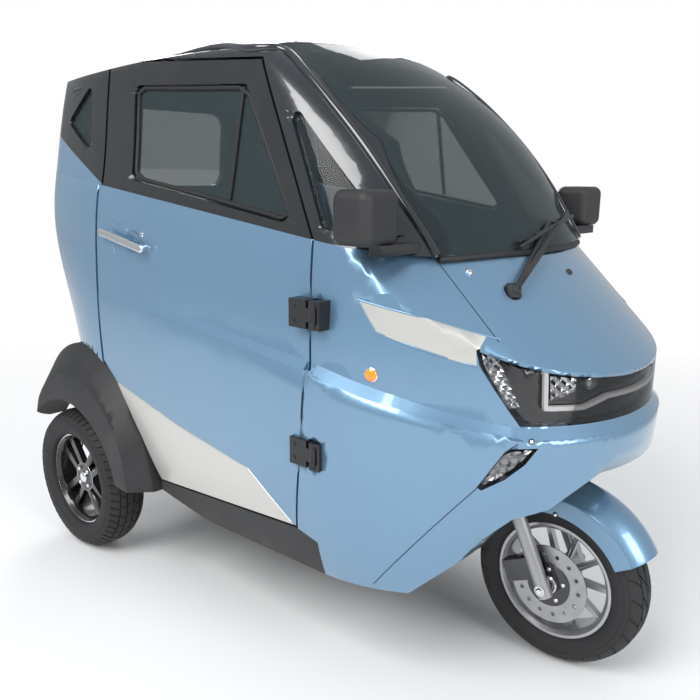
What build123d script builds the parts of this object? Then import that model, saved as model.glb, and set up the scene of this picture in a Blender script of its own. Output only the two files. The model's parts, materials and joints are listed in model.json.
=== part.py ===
from build123d import *
from collections import namedtuple
import math
import os

# Electric passenger tricycle with a closed cabin, two doors, one front wheel and two rear wheels.
# Millimetres. X points forward, Y to the left and Z up. The origin lies on the ground, mid-length.

os.makedirs("parts", exist_ok=True)

# Stance
WHEELBASE = 1590
FRONT_AXLE_X = WHEELBASE / 2
REAR_AXLE_X = -WHEELBASE / 2
RAKE = 25

# Wheels
FRONT_TYRE_R = 243
FRONT_TYRE_W = 130
REAR_TYRE_R = 254
REAR_TYRE_W = 145
RIM_R = 166
REAR_WHEEL_Y = 517.5
TYRE_WALL = 26
RIM_LIP = 8
BEAD_CLEAR = 0.3
SHAFT_CLEAR = 0.3

# Body walls and seams
BODY_WALL = 35
CABIN_WALL = 30
SKIN = 18
BONNET_SKIN = 6
BONNET_LIP = 7
CLADDING = 20
CLADDING_DROP = 21
SEAM = 0.8
DOOR_GAP = 7
DOOR_REAR_GAP = 10
GLASS = 5
GLASS_INSET = 10
GLASS_FIT = 0.3
HALF_DEPTH = 700

# Door outline seen from the side: x of the shut lines and heights of the belt
DOOR_FRONT_X = 356
DOOR_REAR_X = -600
BELT_FRONT_Z = 1175
BELT_REAR_Z = 1294
BELT_SLOPE = (BELT_REAR_Z - BELT_FRONT_Z) / (DOOR_REAR_X - DOOR_FRONT_X)

# Bonnet: a cylinder that slopes forward, through its crown point
BONNET_X = 700
BONNET_Z = 1132
BONNET_SLOPE = 43.8
BONNET_R = 970
BONNET_HALF = 370

# Roof crown, arched both ways
ROOF_Z = 1727
ROOF_MID_X = -300
ROOF_R_LONG = 6000
ROOF_R_CROSS = 1500
ROOF_HALF = 385
ROOF_REAR_X = -900

# Front fender: its lip is the foremost point, and the rear flares reach as far back
FENDER_R = 285
FENDER_START = 30
FENDER_SWEEP = 120
FENDER_WALL = 4
TIP_X = FRONT_AXLE_X + (FENDER_R + FENDER_WALL) * math.cos(math.radians(FENDER_START))

Section = namedtuple(
    "Section",
    "z nose_x cheek_x cheek_y front_x front_half rear_half shoulder_x shoulder_y tail_x tail_y tail_mid_x",
)

# Lower body: plan outlines at seven heights
BODY_SECTIONS = [
    Section(240, 880, 690, 330, DOOR_FRONT_X, 470, 470, -800, 430, -900, 340, -930),
    Section(410, 925, 740, 355, DOOR_FRONT_X, 530, 525, -810, 470, -920, 360, -950),
    Section(600, 955, 785, 372, DOOR_FRONT_X, 553, 548, -830, 488, -945, 372, -972),
    Section(800, 967, 800, 376, DOOR_FRONT_X, 556, 560, -852, 500, -970, 380, -996),
    Section(1000, 958, 792, 376, DOOR_FRONT_X, 549, 560, -885, 515, -1000, 392, -1025),
    Section(1180, 925, 770, 370, DOOR_FRONT_X, 530, 550, -900, 521, -1010, 400, -1036),
    Section(1360, 880, 740, 360, DOOR_FRONT_X, 490, 508, -898, 494, -1004, 384, -1030),
]

# Cabin: plan outlines from the belt to above the roof, the screen leaning back as it rises
CABIN_SECTIONS = [
    Section(1000, 805, 700, 372, DOOR_FRONT_X, 549, 560, -885, 515, -1000, 392, -1025),
    Section(1180, 668, 580, 372, DOOR_FRONT_X - 16, 530, 550, -900, 521, -1010, 400, -1036),
    Section(1360, 538, 456, 376, 235, 494, 508, -898, 494, -1004, 384, -1030),
    Section(1500, 395, 318, 378, 152, 466, 489, -892, 472, -992, 370, -1018),
    Section(1600, 256, 180, 380, 80, 444, 476, -886, 454, -978, 356, -1002),
    Section(1680, 105, 40, 378, -30, 424, 462, -880, 434, -966, 340, -990),
    Section(1760, -60, -120, 360, -200, 400, 445, -870, 412, -950, 322, -975),
]


def plan_face(row, inset):
    """Closed plan outline of one section, moved inwards by inset."""
    nose = (row.nose_x - inset, 0)
    tail_mid = (row.tail_mid_x + inset, 0)
    rim = []
    for side in (1, -1):
        cheek = (row.cheek_x - 0.6 * inset, side * (row.cheek_y - 0.8 * inset))
        front = (row.front_x, side * (row.front_half - inset))
        rear = (DOOR_REAR_X, side * (row.rear_half - inset))
        shoulder = (row.shoulder_x + 0.3 * inset, side * (row.shoulder_y - 0.95 * inset))
        tail = (row.tail_x + 0.95 * inset, side * (row.tail_y - 0.5 * inset))
        rim.append((cheek, front, rear, shoulder, tail))
    with BuildSketch(Plane.XY.offset(row.z)) as face:
        with BuildLine():
            ThreePointArc(rim[1][0], nose, rim[0][0])
            ThreePointArc(rim[0][4], tail_mid, rim[1][4])
            for cheek, front, rear, shoulder, tail in rim:
                side_line = Line(front, rear)
                TangentArc(front, cheek, tangent=side_line % 0 * -1)
                flank = TangentArc(rear, shoulder, tangent=side_line % 1)
                TangentArc(shoulder, tail, tangent=flank % 1)
        make_face()
    return face.sketch


def lofted(table, inset):
    """Solid through all sections of a table."""
    with BuildPart() as body:
        loft(sections=[plan_face(row, inset) for row in table])
    return body.part


def side_region(points, y_from=0, y_to=HALF_DEPTH):
    """Prism over an outline in the side view (x, z), on the left side."""
    with BuildPart() as region:
        with BuildSketch(Plane.XZ.offset(-y_from)):
            with BuildLine():
                Polyline(*points, close=True)
            make_face()
        extrude(amount=-(y_to - y_from))
    return region.part


def cross_region(points):
    """Prism over an outline in the side view (x, z), through both sides."""
    with BuildPart() as region:
        with BuildSketch(Plane.XZ):
            with BuildLine():
                Polyline(*points, close=True)
            make_face()
        extrude(amount=HALF_DEPTH, both=True)
    return region.part


def under_bonnet(depth):
    """Everything below the bonnet's surface, moved down by depth."""
    slope = math.radians(BONNET_SLOPE)
    lean = Plane(
        origin=(BONNET_X, 0, BONNET_Z),
        x_dir=(0, 1, 0),
        z_dir=(math.cos(slope), 0, -math.sin(slope)),
    )
    half = 640
    drop = BONNET_R - math.sqrt(BONNET_R**2 - half**2)
    with BuildPart() as below:
        with BuildSketch(lean):
            with BuildLine():
                ThreePointArc((-half, -drop - depth), (0, -depth), (half, -drop - depth))
                Polyline((half, -drop - depth), (half, -2200), (-half, -2200), (-half, -drop - depth))
            make_face()
        extrude(amount=2500, both=True)
    return below.part


def under_roof(depth):
    """Everything below the crowned roof, moved down by depth."""
    half = 620
    drop = ROOF_R_CROSS - math.sqrt(ROOF_R_CROSS**2 - half**2)
    top = ROOF_Z - depth
    swing = Axis((ROOF_MID_X, 0, ROOF_Z - ROOF_R_LONG), (0, 1, 0))
    with BuildPart() as below:
        with BuildSketch(Plane.YZ.offset(ROOF_MID_X)):
            with BuildLine():
                ThreePointArc((-half, top - drop), (0, top), (half, top - drop))
                Polyline((half, top - drop), (half, 300), (-half, 300), (-half, top - drop))
            make_face()
        revolve(axis=swing, revolution_arc=16)
        mirror(about=Plane.YZ.offset(ROOF_MID_X))
    return below.part


def belt_z(x):
    return BELT_FRONT_Z + BELT_SLOPE * (x - DOOR_FRONT_X)


def both(*parts):
    """Intersection of the first part with all others."""
    with BuildPart() as common:
        add(parts[0])
        for part in parts[1:]:
            add(part, mode=Mode.INTERSECT)
    return common.part


def less(*parts):
    """First part with all others taken away."""
    with BuildPart() as rest:
        add(parts[0])
        for part in parts[1:]:
            add(part, mode=Mode.SUBTRACT)
    return rest.part


def joined(*parts):
    with BuildPart() as whole:
        for part in parts:
            add(part)
    return whole.part


def largest(part):
    """Only the biggest solid of a part, without slivers."""
    with BuildPart() as main:
        add(part.solids().sort_by(SortBy.VOLUME)[-1])
    return main.part


def on_both_sides(part):
    """The part and its mirror image, as one node of two solids."""
    with BuildPart() as pair:
        add(part)
        mirror(about=Plane.XZ)
    return pair.part


def keep(part, name):
    part.label = name
    export_step(part, "parts/" + name + ".step")


def keep_pair(part, name):
    """Left piece as drawn, right piece as its mirror image."""
    keep(part, name + "_left")
    with BuildPart() as other:
        add(mirror(part, about=Plane.XZ, mode=Mode.PRIVATE))
    keep(other.part, name + "_right")


# Crease along the side: the lower body stands proud below it
CREASE = [(DOOR_REAR_X, 972), (-387, 955), (DOOR_FRONT_X, 881), (600, 828), (830, 765), (1100, 757)]
ledge = [(x, z - CLADDING_DROP) for x, z in CREASE]
crease_below = cross_region(ledge + [(1100, 100), (DOOR_REAR_X, 100)])
cladding_sections = [
    row._replace(
        nose_x=row.nose_x + CLADDING,
        cheek_x=row.cheek_x + 0.6 * CLADDING,
        cheek_y=row.cheek_y + 0.8 * CLADDING,
        front_half=row.front_half + CLADDING,
    )
    for row in BODY_SECTIONS[:5]
]

# The underside rises to the nose, the belt falls forward
UNDERSIDE = [(-1100, 300), (-86, 276), (370, 296), (600, 305), (710, 410), (760, 480), (820, 540), (880, 562)]
above_underside = cross_region(UNDERSIDE + [(950, 640), (1100, 640), (1100, 1500), (-1100, 1500)])
below_belt = cross_region([(-1100, 100), (-1100, belt_z(-1100)), (1100, belt_z(1100)), (1100, 100)])
above_belt = cross_region([(-1100, belt_z(-1100)), (1100, belt_z(1100)), (1100, 1900), (-1100, 1900)])

body_solid = joined(lofted(BODY_SECTIONS, 0), both(lofted(cladding_sections, 0), crease_below))
cabin_cavity = both(lofted(CABIN_SECTIONS, CABIN_WALL), under_roof(SKIN))
body_cavity = both(
    lofted(BODY_SECTIONS, BODY_WALL),
    under_bonnet(BONNET_SKIN),
    cross_region([(-1100, 100), (-1100, 1400), (330, 1400), (330, belt_z(330) - SKIN), (1100, belt_z(1100) - SKIN), (1100, 100)]),
)
body_block = both(body_solid, under_bonnet(0), below_belt, above_underside)
body_shell = less(body_block, body_cavity, cabin_cavity)
cabin_block = both(lofted(CABIN_SECTIONS, 0), under_roof(0), above_belt)
screen_foot = both(under_bonnet(SEAM), cross_region([(520, 900), (520, 1300), (1100, 1300), (1100, 900)]))
cabin_shell = less(cabin_block, cabin_cavity, screen_foot)

# Doors: one opening in body and cabin frame, and the door that fits in it
OPENING = [
    (DOOR_REAR_X, 1672), (70, 1628), (343, BELT_FRONT_Z + 2), (DOOR_FRONT_X, 881), (338, 640), (302, 418),
    (-352, 357), (-417, 488), (-532, 664), (-602, 730),
]
opening = side_region(OPENING, 200)
with BuildPart() as door_zone:
    with BuildSketch(Plane.XZ.offset(-200)):
        with BuildLine():
            Polyline(*OPENING, close=True)
        make_face()
        offset(amount=-DOOR_GAP, kind=Kind.INTERSECTION)
    extrude(amount=-HALF_DEPTH)
    with BuildSketch(Plane.XY):
        with Locations((DOOR_REAR_X, 500)):
            Rectangle(2 * DOOR_REAR_GAP, 1000)
    extrude(amount=1900, mode=Mode.SUBTRACT)

# Hinges: an upright pin outside the skin, two heights
HINGE_X = 385
HINGE_Y = 577
PIN_R = 5
KNUCKLE_R = 12
LEAF_REACH = 78
EAR_REACH = 24
LEAF_HALF = 35
KNUCKLE_HALF = 17
Hinge = namedtuple("Hinge", "z seat_y")
HINGES = [Hinge(1004, 541), Hinge(650, 560)]


def block(x0, x1, y0, y1, z0, z1):
    """Box between two corners."""
    with BuildPart() as brick:
        with Locations(((x0 + x1) / 2, (y0 + y1) / 2, (z0 + z1) / 2)):
            Box(abs(x1 - x0), abs(y1 - y0), abs(z1 - z0))
    return brick.part


def upright(x, y, z, radius, half):
    """Upright cylinder about a point."""
    with BuildPart() as rod:
        with Locations((x, y, z)):
            Cylinder(radius, 2 * half)
    return rod.part


def hinge_pockets(fit):
    """Recesses for the hinges, larger than them by fit."""
    return [
        block(
            HINGE_X - LEAF_REACH - fit, HINGE_X + EAR_REACH + fit, h.seat_y - fit, 620,
            h.z - LEAF_HALF - fit, h.z + LEAF_HALF + fit,
        )
        for h in HINGES
    ] + [upright(HINGE_X, HINGE_Y, h.z, KNUCKLE_R + 7, LEAF_HALF + 6) for h in HINGES]


pockets = joined(*hinge_pockets(SHAFT_CLEAR))
door_parts = []
body_parts = []
for h in HINGES:
    gap_low = h.z - KNUCKLE_HALF
    gap_high = h.z + KNUCKLE_HALF
    leaf = joined(
        block(HINGE_X - LEAF_REACH, HINGE_X - 20, h.seat_y, HINGE_Y + 6, h.z - LEAF_HALF, h.z + LEAF_HALF),
        block(HINGE_X - 24, HINGE_X, HINGE_Y - 4, HINGE_Y + 6, gap_low, gap_high),
        upright(HINGE_X, HINGE_Y, h.z, KNUCKLE_R, KNUCKLE_HALF),
    )
    door_parts.append(less(leaf, upright(HINGE_X, HINGE_Y, h.z, PIN_R + 0.05, 60)))
    ears = joined(
        block(HINGE_X + 6, HINGE_X + EAR_REACH, h.seat_y, HINGE_Y + 6, h.z - LEAF_HALF, h.z + LEAF_HALF),
        upright(HINGE_X, HINGE_Y, h.z, KNUCKLE_R, LEAF_HALF),
    )
    room = upright(HINGE_X, HINGE_Y, h.z, KNUCKLE_R + 6, KNUCKLE_HALF + SHAFT_CLEAR)
    pin = upright(HINGE_X, HINGE_Y, h.z, PIN_R, LEAF_HALF)
    body_parts.append(joined(less(ears, room), pin))
keep(on_both_sides(joined(*body_parts)), "body_hinges")
keep_pair(joined(*door_parts), "door_hinges")

# Door panels
SILVER = [(-600, 672), (-532, 664), (-198, 590), (124, 539), (286, 425), (320, 380), (-400, 300), (-600, 300)]
silver_zone = side_region(SILVER, 200)
door_shell = less(both(door_zone.part, body_shell), pockets)
HANDLE_REAR = (-545, 1152)
HANDLE_FRONT = (-310, 1110)
BOWL = (-395, 1129)
with BuildPart() as bowl:
    with Locations((BOWL[0], 572, BOWL[1])):
        Sphere(42)
keep_pair(less(door_shell, silver_zone, bowl.part), "door_skin")
keep_pair(both(door_shell, silver_zone), "door_lower_panel")

DOOR_WINDOW = [(-458, 1588), (28, 1562), (270, 1207), (-440, 1309)]
with BuildPart() as door_window:
    with BuildSketch(Plane.XZ.offset(-200)):
        with BuildLine():
            FilletPolyline(*DOOR_WINDOW, radius=22, close=True)
        make_face()
    extrude(amount=-HALF_DEPTH)
door_cabin = both(door_zone.part, cabin_shell)
keep_pair(less(door_cabin, door_window.part), "door_frame")
cabin_glass = both(
    less(lofted(CABIN_SECTIONS, GLASS_INSET), lofted(CABIN_SECTIONS, GLASS_INSET + GLASS)), above_belt, under_roof(SKIN)
)
with BuildPart() as door_pane:
    with BuildSketch(Plane.XZ.offset(-200)):
        with BuildLine():
            FilletPolyline(*DOOR_WINDOW, radius=22, close=True)
        make_face()
        offset(amount=-GLASS_FIT)
    extrude(amount=-HALF_DEPTH)
keep_pair(both(cabin_glass, door_pane.part), "door_glass")

# Door handle: a grip on two feet across the bowl
rise = math.degrees(math.atan2(HANDLE_FRONT[1] - HANDLE_REAR[1], HANDLE_FRONT[0] - HANDLE_REAR[0]))
grip_length = math.dist(HANDLE_REAR, HANDLE_FRONT)
grip_plane = Plane(
    origin=((HANDLE_REAR[0] + HANDLE_FRONT[0]) / 2, 0, (HANDLE_REAR[1] + HANDLE_FRONT[1]) / 2),
    x_dir=(math.cos(math.radians(rise)), 0, math.sin(math.radians(rise))),
    z_dir=(0, -1, 0),
)
with BuildPart() as handle:
    with BuildSketch(grip_plane.offset(-566)):
        SlotOverall(grip_length, 24)
    extrude(amount=-14)
    fillet(handle.edges().group_by(Axis.Y)[-1], 5)
    with BuildSketch(grip_plane.offset(-540)):
        with Locations((-0.4 * grip_length, 0), (0.4 * grip_length, 0)):
            RectangleRounded(24, 18, 6)
    extrude(amount=-28)
    add(door_shell, mode=Mode.SUBTRACT)
    handle_solid = handle.part.solids().sort_by(SortBy.VOLUME)[-1]
keep_pair(Part() + handle_solid, "door_handle")

# Fixed body panels, seen from the side
LAMP_EDGE = [(774, 1000), (774, 968), (741, 950), (749, 914), (824, 771)]
lamp_zone = cross_region(LAMP_EDGE + [(1100, 756), (1100, 1000)])
SEAM_EDGE = [(824, 771), (832, 740), (812, 718), (761, 624), (488, 270)]
bumper_zone = cross_region(SEAM_EDGE + [(1100, 270), (1100, 756)])
GARNISH = [(480, 1051), (645, 1017), (715, 990), (774, 968), (741, 950), (744, 912), (533, 977)]
garnish_zone = side_region(GARNISH, 200)
SILL = [(-368, 318), (-86, 260), (372, 260), (372, 400), (302, 418), (-352, 357)]
sill_zone = side_region(SILL, 200)
LOW_LAMP = [(755, 636), (800, 724), (865, 724), (844, 684), (810, 647), (770, 620)]
low_lamp_zone = side_region(LOW_LAMP, 200)
BONNET_PLAN = [(540, BONNET_HALF), (744, BONNET_HALF + 4), (752, 470), (1100, 470)]
with BuildPart() as bonnet_zone:
    with BuildSketch(Plane.XY.offset(700)):
        with BuildLine():
            Polyline(*BONNET_PLAN, (1100, -470), *[(x, -y) for x, y in reversed(BONNET_PLAN[:3])], close=True)
        make_face()
    extrude(amount=600)
bonnet_skin = less(both(body_shell, bonnet_zone.part), under_bonnet(BONNET_LIP))
keep(bonnet_skin, "bonnet")

front_shell = less(body_shell, block(-1200, DOOR_FRONT_X - 60, -700, 700, 0, 1500), opening, mirror(opening, about=Plane.XZ))
lamp_block = less(both(front_shell, lamp_zone), bonnet_skin)
keep(lamp_block, "headlamp_housing")
bumper_block = both(front_shell, bumper_zone)
low_lamps = on_both_sides(both(bumper_block, low_lamp_zone, lofted(cladding_sections, 0)))
keep(low_lamps, "low_lamps")
keep(less(bumper_block, low_lamps), "bumper")

left_half = block(-1200, 1200, 0, 700, 0, 1900)
quarter = less(both(front_shell, left_half), lamp_zone, bumper_zone, bonnet_skin, sill_zone)
keep(on_both_sides(largest(less(quarter, garnish_zone, pockets))), "front_quarters")
keep(on_both_sides(both(quarter, garnish_zone)), "garnish")
keep(on_both_sides(less(both(body_shell, sill_zone), opening)), "sills")

# Rear wheel flare: lofted from the body outwards, with a round wheel opening
WHEEL_WELL_R = 300
FLARE_BODY_Y = 535
FLARE_OUTER_Y = 600
FLARE_INNER_Y = 470
FLARE_BODY = [(-372, 316), (-417, 488), (-530, 665), (-640, 738), (-850, 735), (-1010, 585), (-TIP_X, 360)]
FLARE_OUTER = [(-432, 316), (-458, 440), (-545, 570), (-650, 636), (-840, 640), (-985, 520), (-TIP_X, 360)]


def flare_face(points, y):
    """Closed flare outline in the side view: a line, two arcs and a line."""
    a, b, c, d, e, f, g = points
    with BuildSketch(Plane.XZ.offset(-y)) as face:
        with BuildLine():
            Line(a, b)
            ThreePointArc(b, c, d)
            ThreePointArc(d, e, f)
            Line(f, g)
            Line(g, a)
        make_face()
    return face.sketch


with BuildPart() as flare:
    loft(sections=[flare_face(FLARE_BODY, FLARE_BODY_Y), flare_face(FLARE_OUTER, FLARE_OUTER_Y)])
    extrude(flare_face(FLARE_BODY, FLARE_BODY_Y), amount=FLARE_BODY_Y - FLARE_INNER_Y, dir=(0, -1, 0))
    with BuildSketch(Plane.XZ.offset(-400)):
        with Locations((REAR_AXLE_X, REAR_TYRE_R)):
            Circle(WHEEL_WELL_R)
    extrude(amount=-300, mode=Mode.SUBTRACT)
keep(on_both_sides(largest(less(flare.part, opening))), "flares")
FLARE_CUT_Y = 435
flare_zone = joined(
    extrude(flare_face(FLARE_BODY, FLARE_CUT_Y), amount=200, dir=(0, 1, 0)),
    block(-1200, -330, FLARE_CUT_Y, 700, 0, 340),
)

# Rear body: quarters, tail, bumper
FRAME_LINE = [(DOOR_REAR_X, 1297), (-915, 1452), (-1100, 1545)]
frame_zone = cross_region(FRAME_LINE + [(-1100, 1900), (DOOR_REAR_X, 1900)])
TAIL_HALF = 362
BUMPER_TOP = 620
rear_shell = both(joined(body_shell, cabin_shell), block(-1200, DOOR_REAR_X, -700, 700, 0, 1900))
rear_side = both(less(rear_shell, flare_zone, opening), block(-1200, DOOR_REAR_X, TAIL_HALF, 700, BUMPER_TOP, 1900))
roof_zone = block(ROOF_REAR_X, 64, -ROOF_HALF, ROOF_HALF, 1560, 1900)
keep(on_both_sides(less(rear_side, frame_zone)), "rear_quarters")
QUARTER_WINDOW = [(-848, 1494), (-690, 1612), (-684, 1392)]
with BuildPart() as quarter_window:
    with BuildSketch(Plane.XZ.offset(-200)):
        with BuildLine():
            FilletPolyline(*QUARTER_WINDOW, radius=18, close=True)
        make_face()
    extrude(amount=-HALF_DEPTH)
quarter_frame = less(both(rear_side, frame_zone), quarter_window.part, roof_zone)
tail_block = less(
    both(rear_shell, block(-1200, -700, -TAIL_HALF, TAIL_HALF, BUMPER_TOP, 1900)), roof_zone
)
with BuildPart() as rear_window:
    with BuildSketch(Plane.YZ.offset(-1200)):
        with Locations((0, 1425)):
            RectangleRounded(600, 290, 60)
    extrude(amount=400)
keep(less(tail_block, rear_window.part), "tail_panel")
keep(both(less(rear_shell, flare_zone, mirror(flare_zone, about=Plane.XZ)), block(-1200, -850, -470, 470, 380, BUMPER_TOP)), "rear_bumper")
keep(less(both(cabin_shell, roof_zone), opening, mirror(opening, about=Plane.XZ)), "roof")

# Cabin frame: corner window, pillar and roof rail on each side
SCREEN_EDGE = [(612, 1100), (610, 1130), (415, 1410), (224, 1570), (120, 1636), (64, 1668)]
screen_zone = cross_region(SCREEN_EDGE + [(64, 1900), (1100, 1900), (1100, 1100)])
CORNER_WINDOW = [(156, 1552), (360, 1206), (560, 1160)]
with BuildPart() as corner_window:
    with BuildSketch(Plane.XZ.offset(-200)):
        with BuildLine():
            FilletPolyline(*CORNER_WINDOW, radius=14, close=True)
        make_face()
    extrude(amount=-HALF_DEPTH)
side_frame = less(
    both(cabin_shell, left_half), opening, screen_zone, roof_zone, block(-1200, DOOR_REAR_X, -700, 700, 0, 1900)
)
keep(on_both_sides(less(side_frame, corner_window.part)), "cabin_frames")
keep(on_both_sides(quarter_frame), "rear_window_frames")
side_panes = both(cabin_glass, joined(corner_window.part, quarter_window.part), left_half)
keep(on_both_sides(side_panes), "side_windows")
keep(both(cabin_glass, rear_window.part), "rear_window")
screen = less(both(lofted(CABIN_SECTIONS, 0), screen_zone, above_belt, under_roof(0)), lofted(CABIN_SECTIONS, GLASS), screen_foot)
keep(screen, "windscreen")

# Chassis: two rails, cross members out to the sills, uprights to the steering head
RAIL_Y = 280
RAIL_W = 50
RAIL_Z = 290
FLOOR_Z = 330
FLOOR_SHEET = 12
FLOOR_TOP = FLOOR_Z + FLOOR_SHEET
FLOOR_FRONT = 468
FLOOR_REAR = -512
FLOOR_HALF = 455
CROSS_X = [-960, -340, 0, 340]
STEM_R = 17
HEAD_R = 32
HEAD_LOW = 430
HEAD_HIGH = 560
steer_plane = Plane(
    origin=(FRONT_AXLE_X, 0, FRONT_TYRE_R),
    x_dir=(math.cos(math.radians(RAKE)), 0, math.sin(math.radians(RAKE))),
    z_dir=(-math.sin(math.radians(RAKE)), 0, math.cos(math.radians(RAKE))),
)
with BuildPart() as frame:
    add(side_region([(428, 300), (458, 300), (458, 632), (600, 664), (560, 716), (428, 664)], 30, 62))
    add(block(-980, 460, RAIL_Y - RAIL_W / 2, RAIL_Y + RAIL_W / 2, RAIL_Z, FLOOR_Z))
    mirror(about=Plane.XZ)
    for x in CROSS_X[1:]:
        add(block(x - 20, x + 20, -600, 600, RAIL_Z, FLOOR_Z))
    add(block(CROSS_X[0] - 20, CROSS_X[0] + 20, -RAIL_Y, RAIL_Y, RAIL_Z, FLOOR_Z))
    add(block(428, 458, -RAIL_Y, RAIL_Y, RAIL_Z, FLOOR_Z))
    with BuildSketch(steer_plane.offset(HEAD_LOW)):
        Circle(HEAD_R)
    extrude(amount=HEAD_HIGH - HEAD_LOW)
    with BuildSketch(steer_plane.offset(HEAD_LOW - 40)):
        Circle(STEM_R + SHAFT_CLEAR)
    extrude(amount=HEAD_HIGH - HEAD_LOW + 80, mode=Mode.SUBTRACT)
inner_body = both(lofted(BODY_SECTIONS, BODY_WALL + 0.3), under_bonnet(BONNET_LIP + 0.3), above_underside)
keep(both(frame.part, lofted(BODY_SECTIONS, BODY_WALL + 0.3)), "chassis_frame")
FOOT_PLATE_X = (-490, -215)
FOOT_PLATE_HALF = 300
FOOT_PLATE = 2
foot_plate = block(*FOOT_PLATE_X, -FOOT_PLATE_HALF, FOOT_PLATE_HALF, FLOOR_TOP - 1, FLOOR_TOP + FOOT_PLATE)
floor_sheet = block(FLOOR_REAR, FLOOR_FRONT - 40.3, -FLOOR_HALF, FLOOR_HALF, FLOOR_Z, FLOOR_TOP)
keep(joined(floor_sheet, foot_plate), "floor_pan")

# Front wheelhouse with the bulkhead, open below for the steered wheel
HOUSE_TOP = 604
SHEET = 4
with BuildPart() as house:
    add(cross_region([(466, FLOOR_TOP), (466, HOUSE_TOP), (655, HOUSE_TOP), (655, 1060), (660, 1060), (660, HOUSE_TOP),
        (960, HOUSE_TOP), (960, HOUSE_TOP - SHEET), (470, HOUSE_TOP - SHEET), (470, FLOOR_TOP)]))
    for side in (1, -1):
        add(block(468, 900, side * 290, side * 294, FLOOR_TOP, HOUSE_TOP - 1))
    add(inner_body, mode=Mode.INTERSECT)
    with BuildSketch(steer_plane.offset(300)):
        Circle(STEM_R + 15)
    extrude(amount=160, mode=Mode.SUBTRACT)
keep(largest(house.part), "front_wheelhouse")

# Rear tub: seat box between the wheels
TUB_TOP = 620
TUB_REAR = -940
TUB_HALF = FLARE_INNER_Y - 0.3
WELL_Y = 415
tub = less(
    block(TUB_REAR, FLOOR_REAR + 12, -TUB_HALF, TUB_HALF, FLOOR_TOP, TUB_TOP),
    block(TUB_REAR - 10, FLOOR_REAR + 2, -WELL_Y + 10, WELL_Y - 10, 0, TUB_TOP - 10),
    block(-1200, -400, WELL_Y, 700, 0, TUB_TOP - 10),
    block(-1200, -400, -700, -WELL_Y, 0, TUB_TOP - 10),
    less(rear_shell, flare_zone, mirror(flare_zone, about=Plane.XZ)),
)
keep(largest(tub), "rear_tub")

# Battery, seat frame, seats
SEAT_X = (-200, 150)
SEAT_HALF = 195
SEAT_BASE_Z = 515
keep(block(SEAT_X[0], SEAT_X[1] - 30, -185, 185, FLOOR_TOP, SEAT_BASE_Z), "battery_box")
seat_frame = cross_region([(-262, SEAT_BASE_Z), (-200, SEAT_BASE_Z), (120, SEAT_BASE_Z), (120, SEAT_BASE_Z + 5), (-196, SEAT_BASE_Z + 5),
    (-238, SEAT_BASE_Z + 5), (-300, 1000), (-306, 1000)])
keep(both(seat_frame, block(-400, 200, -120, 120, 500, 1010)), "seat_frame")


def cushion(x0, x1, half, z0, z1, radius):
    with BuildPart() as pad:
        with Locations(((x0 + x1) / 2, 0, (z0 + z1) / 2)):
            Box(x1 - x0, 2 * half, z1 - z0)
        fillet(pad.edges(), radius)
    return pad.part


keep(cushion(SEAT_X[0], SEAT_X[1], SEAT_HALF, SEAT_BASE_Z + 5.3, SEAT_BASE_Z + 105, 22), "driver_cushion")
lean = math.degrees(math.atan2(62, 480))
back_plane = Plane(origin=(-238.5, 0, SEAT_BASE_Z + 5), x_dir=(math.cos(math.radians(lean)), 0, math.sin(math.radians(lean))),
    z_dir=(0, -1, 0))
with BuildPart() as driver_back:
    with BuildSketch(back_plane):
        with Locations((41, 330)):
            RectangleRounded(74, 440, 24)
    extrude(amount=SEAT_HALF, both=True)
    fillet(driver_back.faces().filter_by(Axis.Y).edges(), 18)
keep(driver_back.part, "driver_backrest")
keep(cushion(-822, -500, 400, TUB_TOP + 0.3, TUB_TOP + 100, 22), "bench_cushion")
keep(cushion(-905, -824, 330, TUB_TOP + 0.3, TUB_TOP + 480, 22), "bench_backrest")

# Dashboard under the screen
dash = both(cross_region([(520, 1078), (650, 1066), (654, 1100), (600, 1122), (520, 1110)]), inner_body)
keep(largest(dash), "dashboard")



def rod_y(x, y0, y1, z, radius):
    """Cylinder along Y from y0 to y1."""
    with BuildPart() as rod:
        with BuildSketch(Plane.XZ.offset(-y0)):
            with Locations((x, z)):
                Circle(radius)
        extrude(amount=y0 - y1)
    return rod.part


# Rear axle with its motor, on leaf springs
AXLE_R = 26
STUB_R = 14
HUB_FACE_Y = 455
with BuildPart() as rear_axle:
    with BuildSketch(Plane.XZ.offset(-HUB_FACE_Y)):
        with Locations((REAR_AXLE_X, REAR_TYRE_R)):
            Circle(AXLE_R)
    extrude(amount=2 * HUB_FACE_Y)
    with BuildSketch(Plane.XZ.offset(-120)):
        with Locations((REAR_AXLE_X, REAR_TYRE_R)):
            Circle(84)
    extrude(amount=200)
    for side in (1, -1):
        add(rod_y(REAR_AXLE_X, side * 430, side * HUB_FACE_Y, REAR_TYRE_R, 90))
        add(rod_y(REAR_AXLE_X, side * HUB_FACE_Y, side * (REAR_WHEEL_Y + 20), REAR_TYRE_R, STUB_R))
keep(rear_axle.part, "rear_axle")
SPRING_HALF = 25
spring_low = REAR_TYRE_R - AXLE_R
with BuildPart() as springs:
    with BuildSketch(Plane.XZ.offset(-RAIL_Y + SPRING_HALF)):
        with BuildLine():
            ThreePointArc((-975, RAIL_Z - 0.3), (REAR_AXLE_X, spring_low - 0.3), (-615, RAIL_Z - 0.3))
            Line((-615, RAIL_Z - 0.3), (-600, RAIL_Z - 0.3))
            ThreePointArc((-600, RAIL_Z - 0.3), (REAR_AXLE_X, spring_low - 18), (-979, RAIL_Z - 14))
            Line((-979, RAIL_Z - 14), (-975, RAIL_Z - 0.3))
        make_face()
    extrude(amount=-2 * SPRING_HALF)
keep(on_both_sides(springs.part), "leaf_springs")


CROWN_BANDS = 3
CROWN_STEPS = (-3, -2, -1, 1, 2, 3)
SHOULDER_DROP = 22


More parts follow.
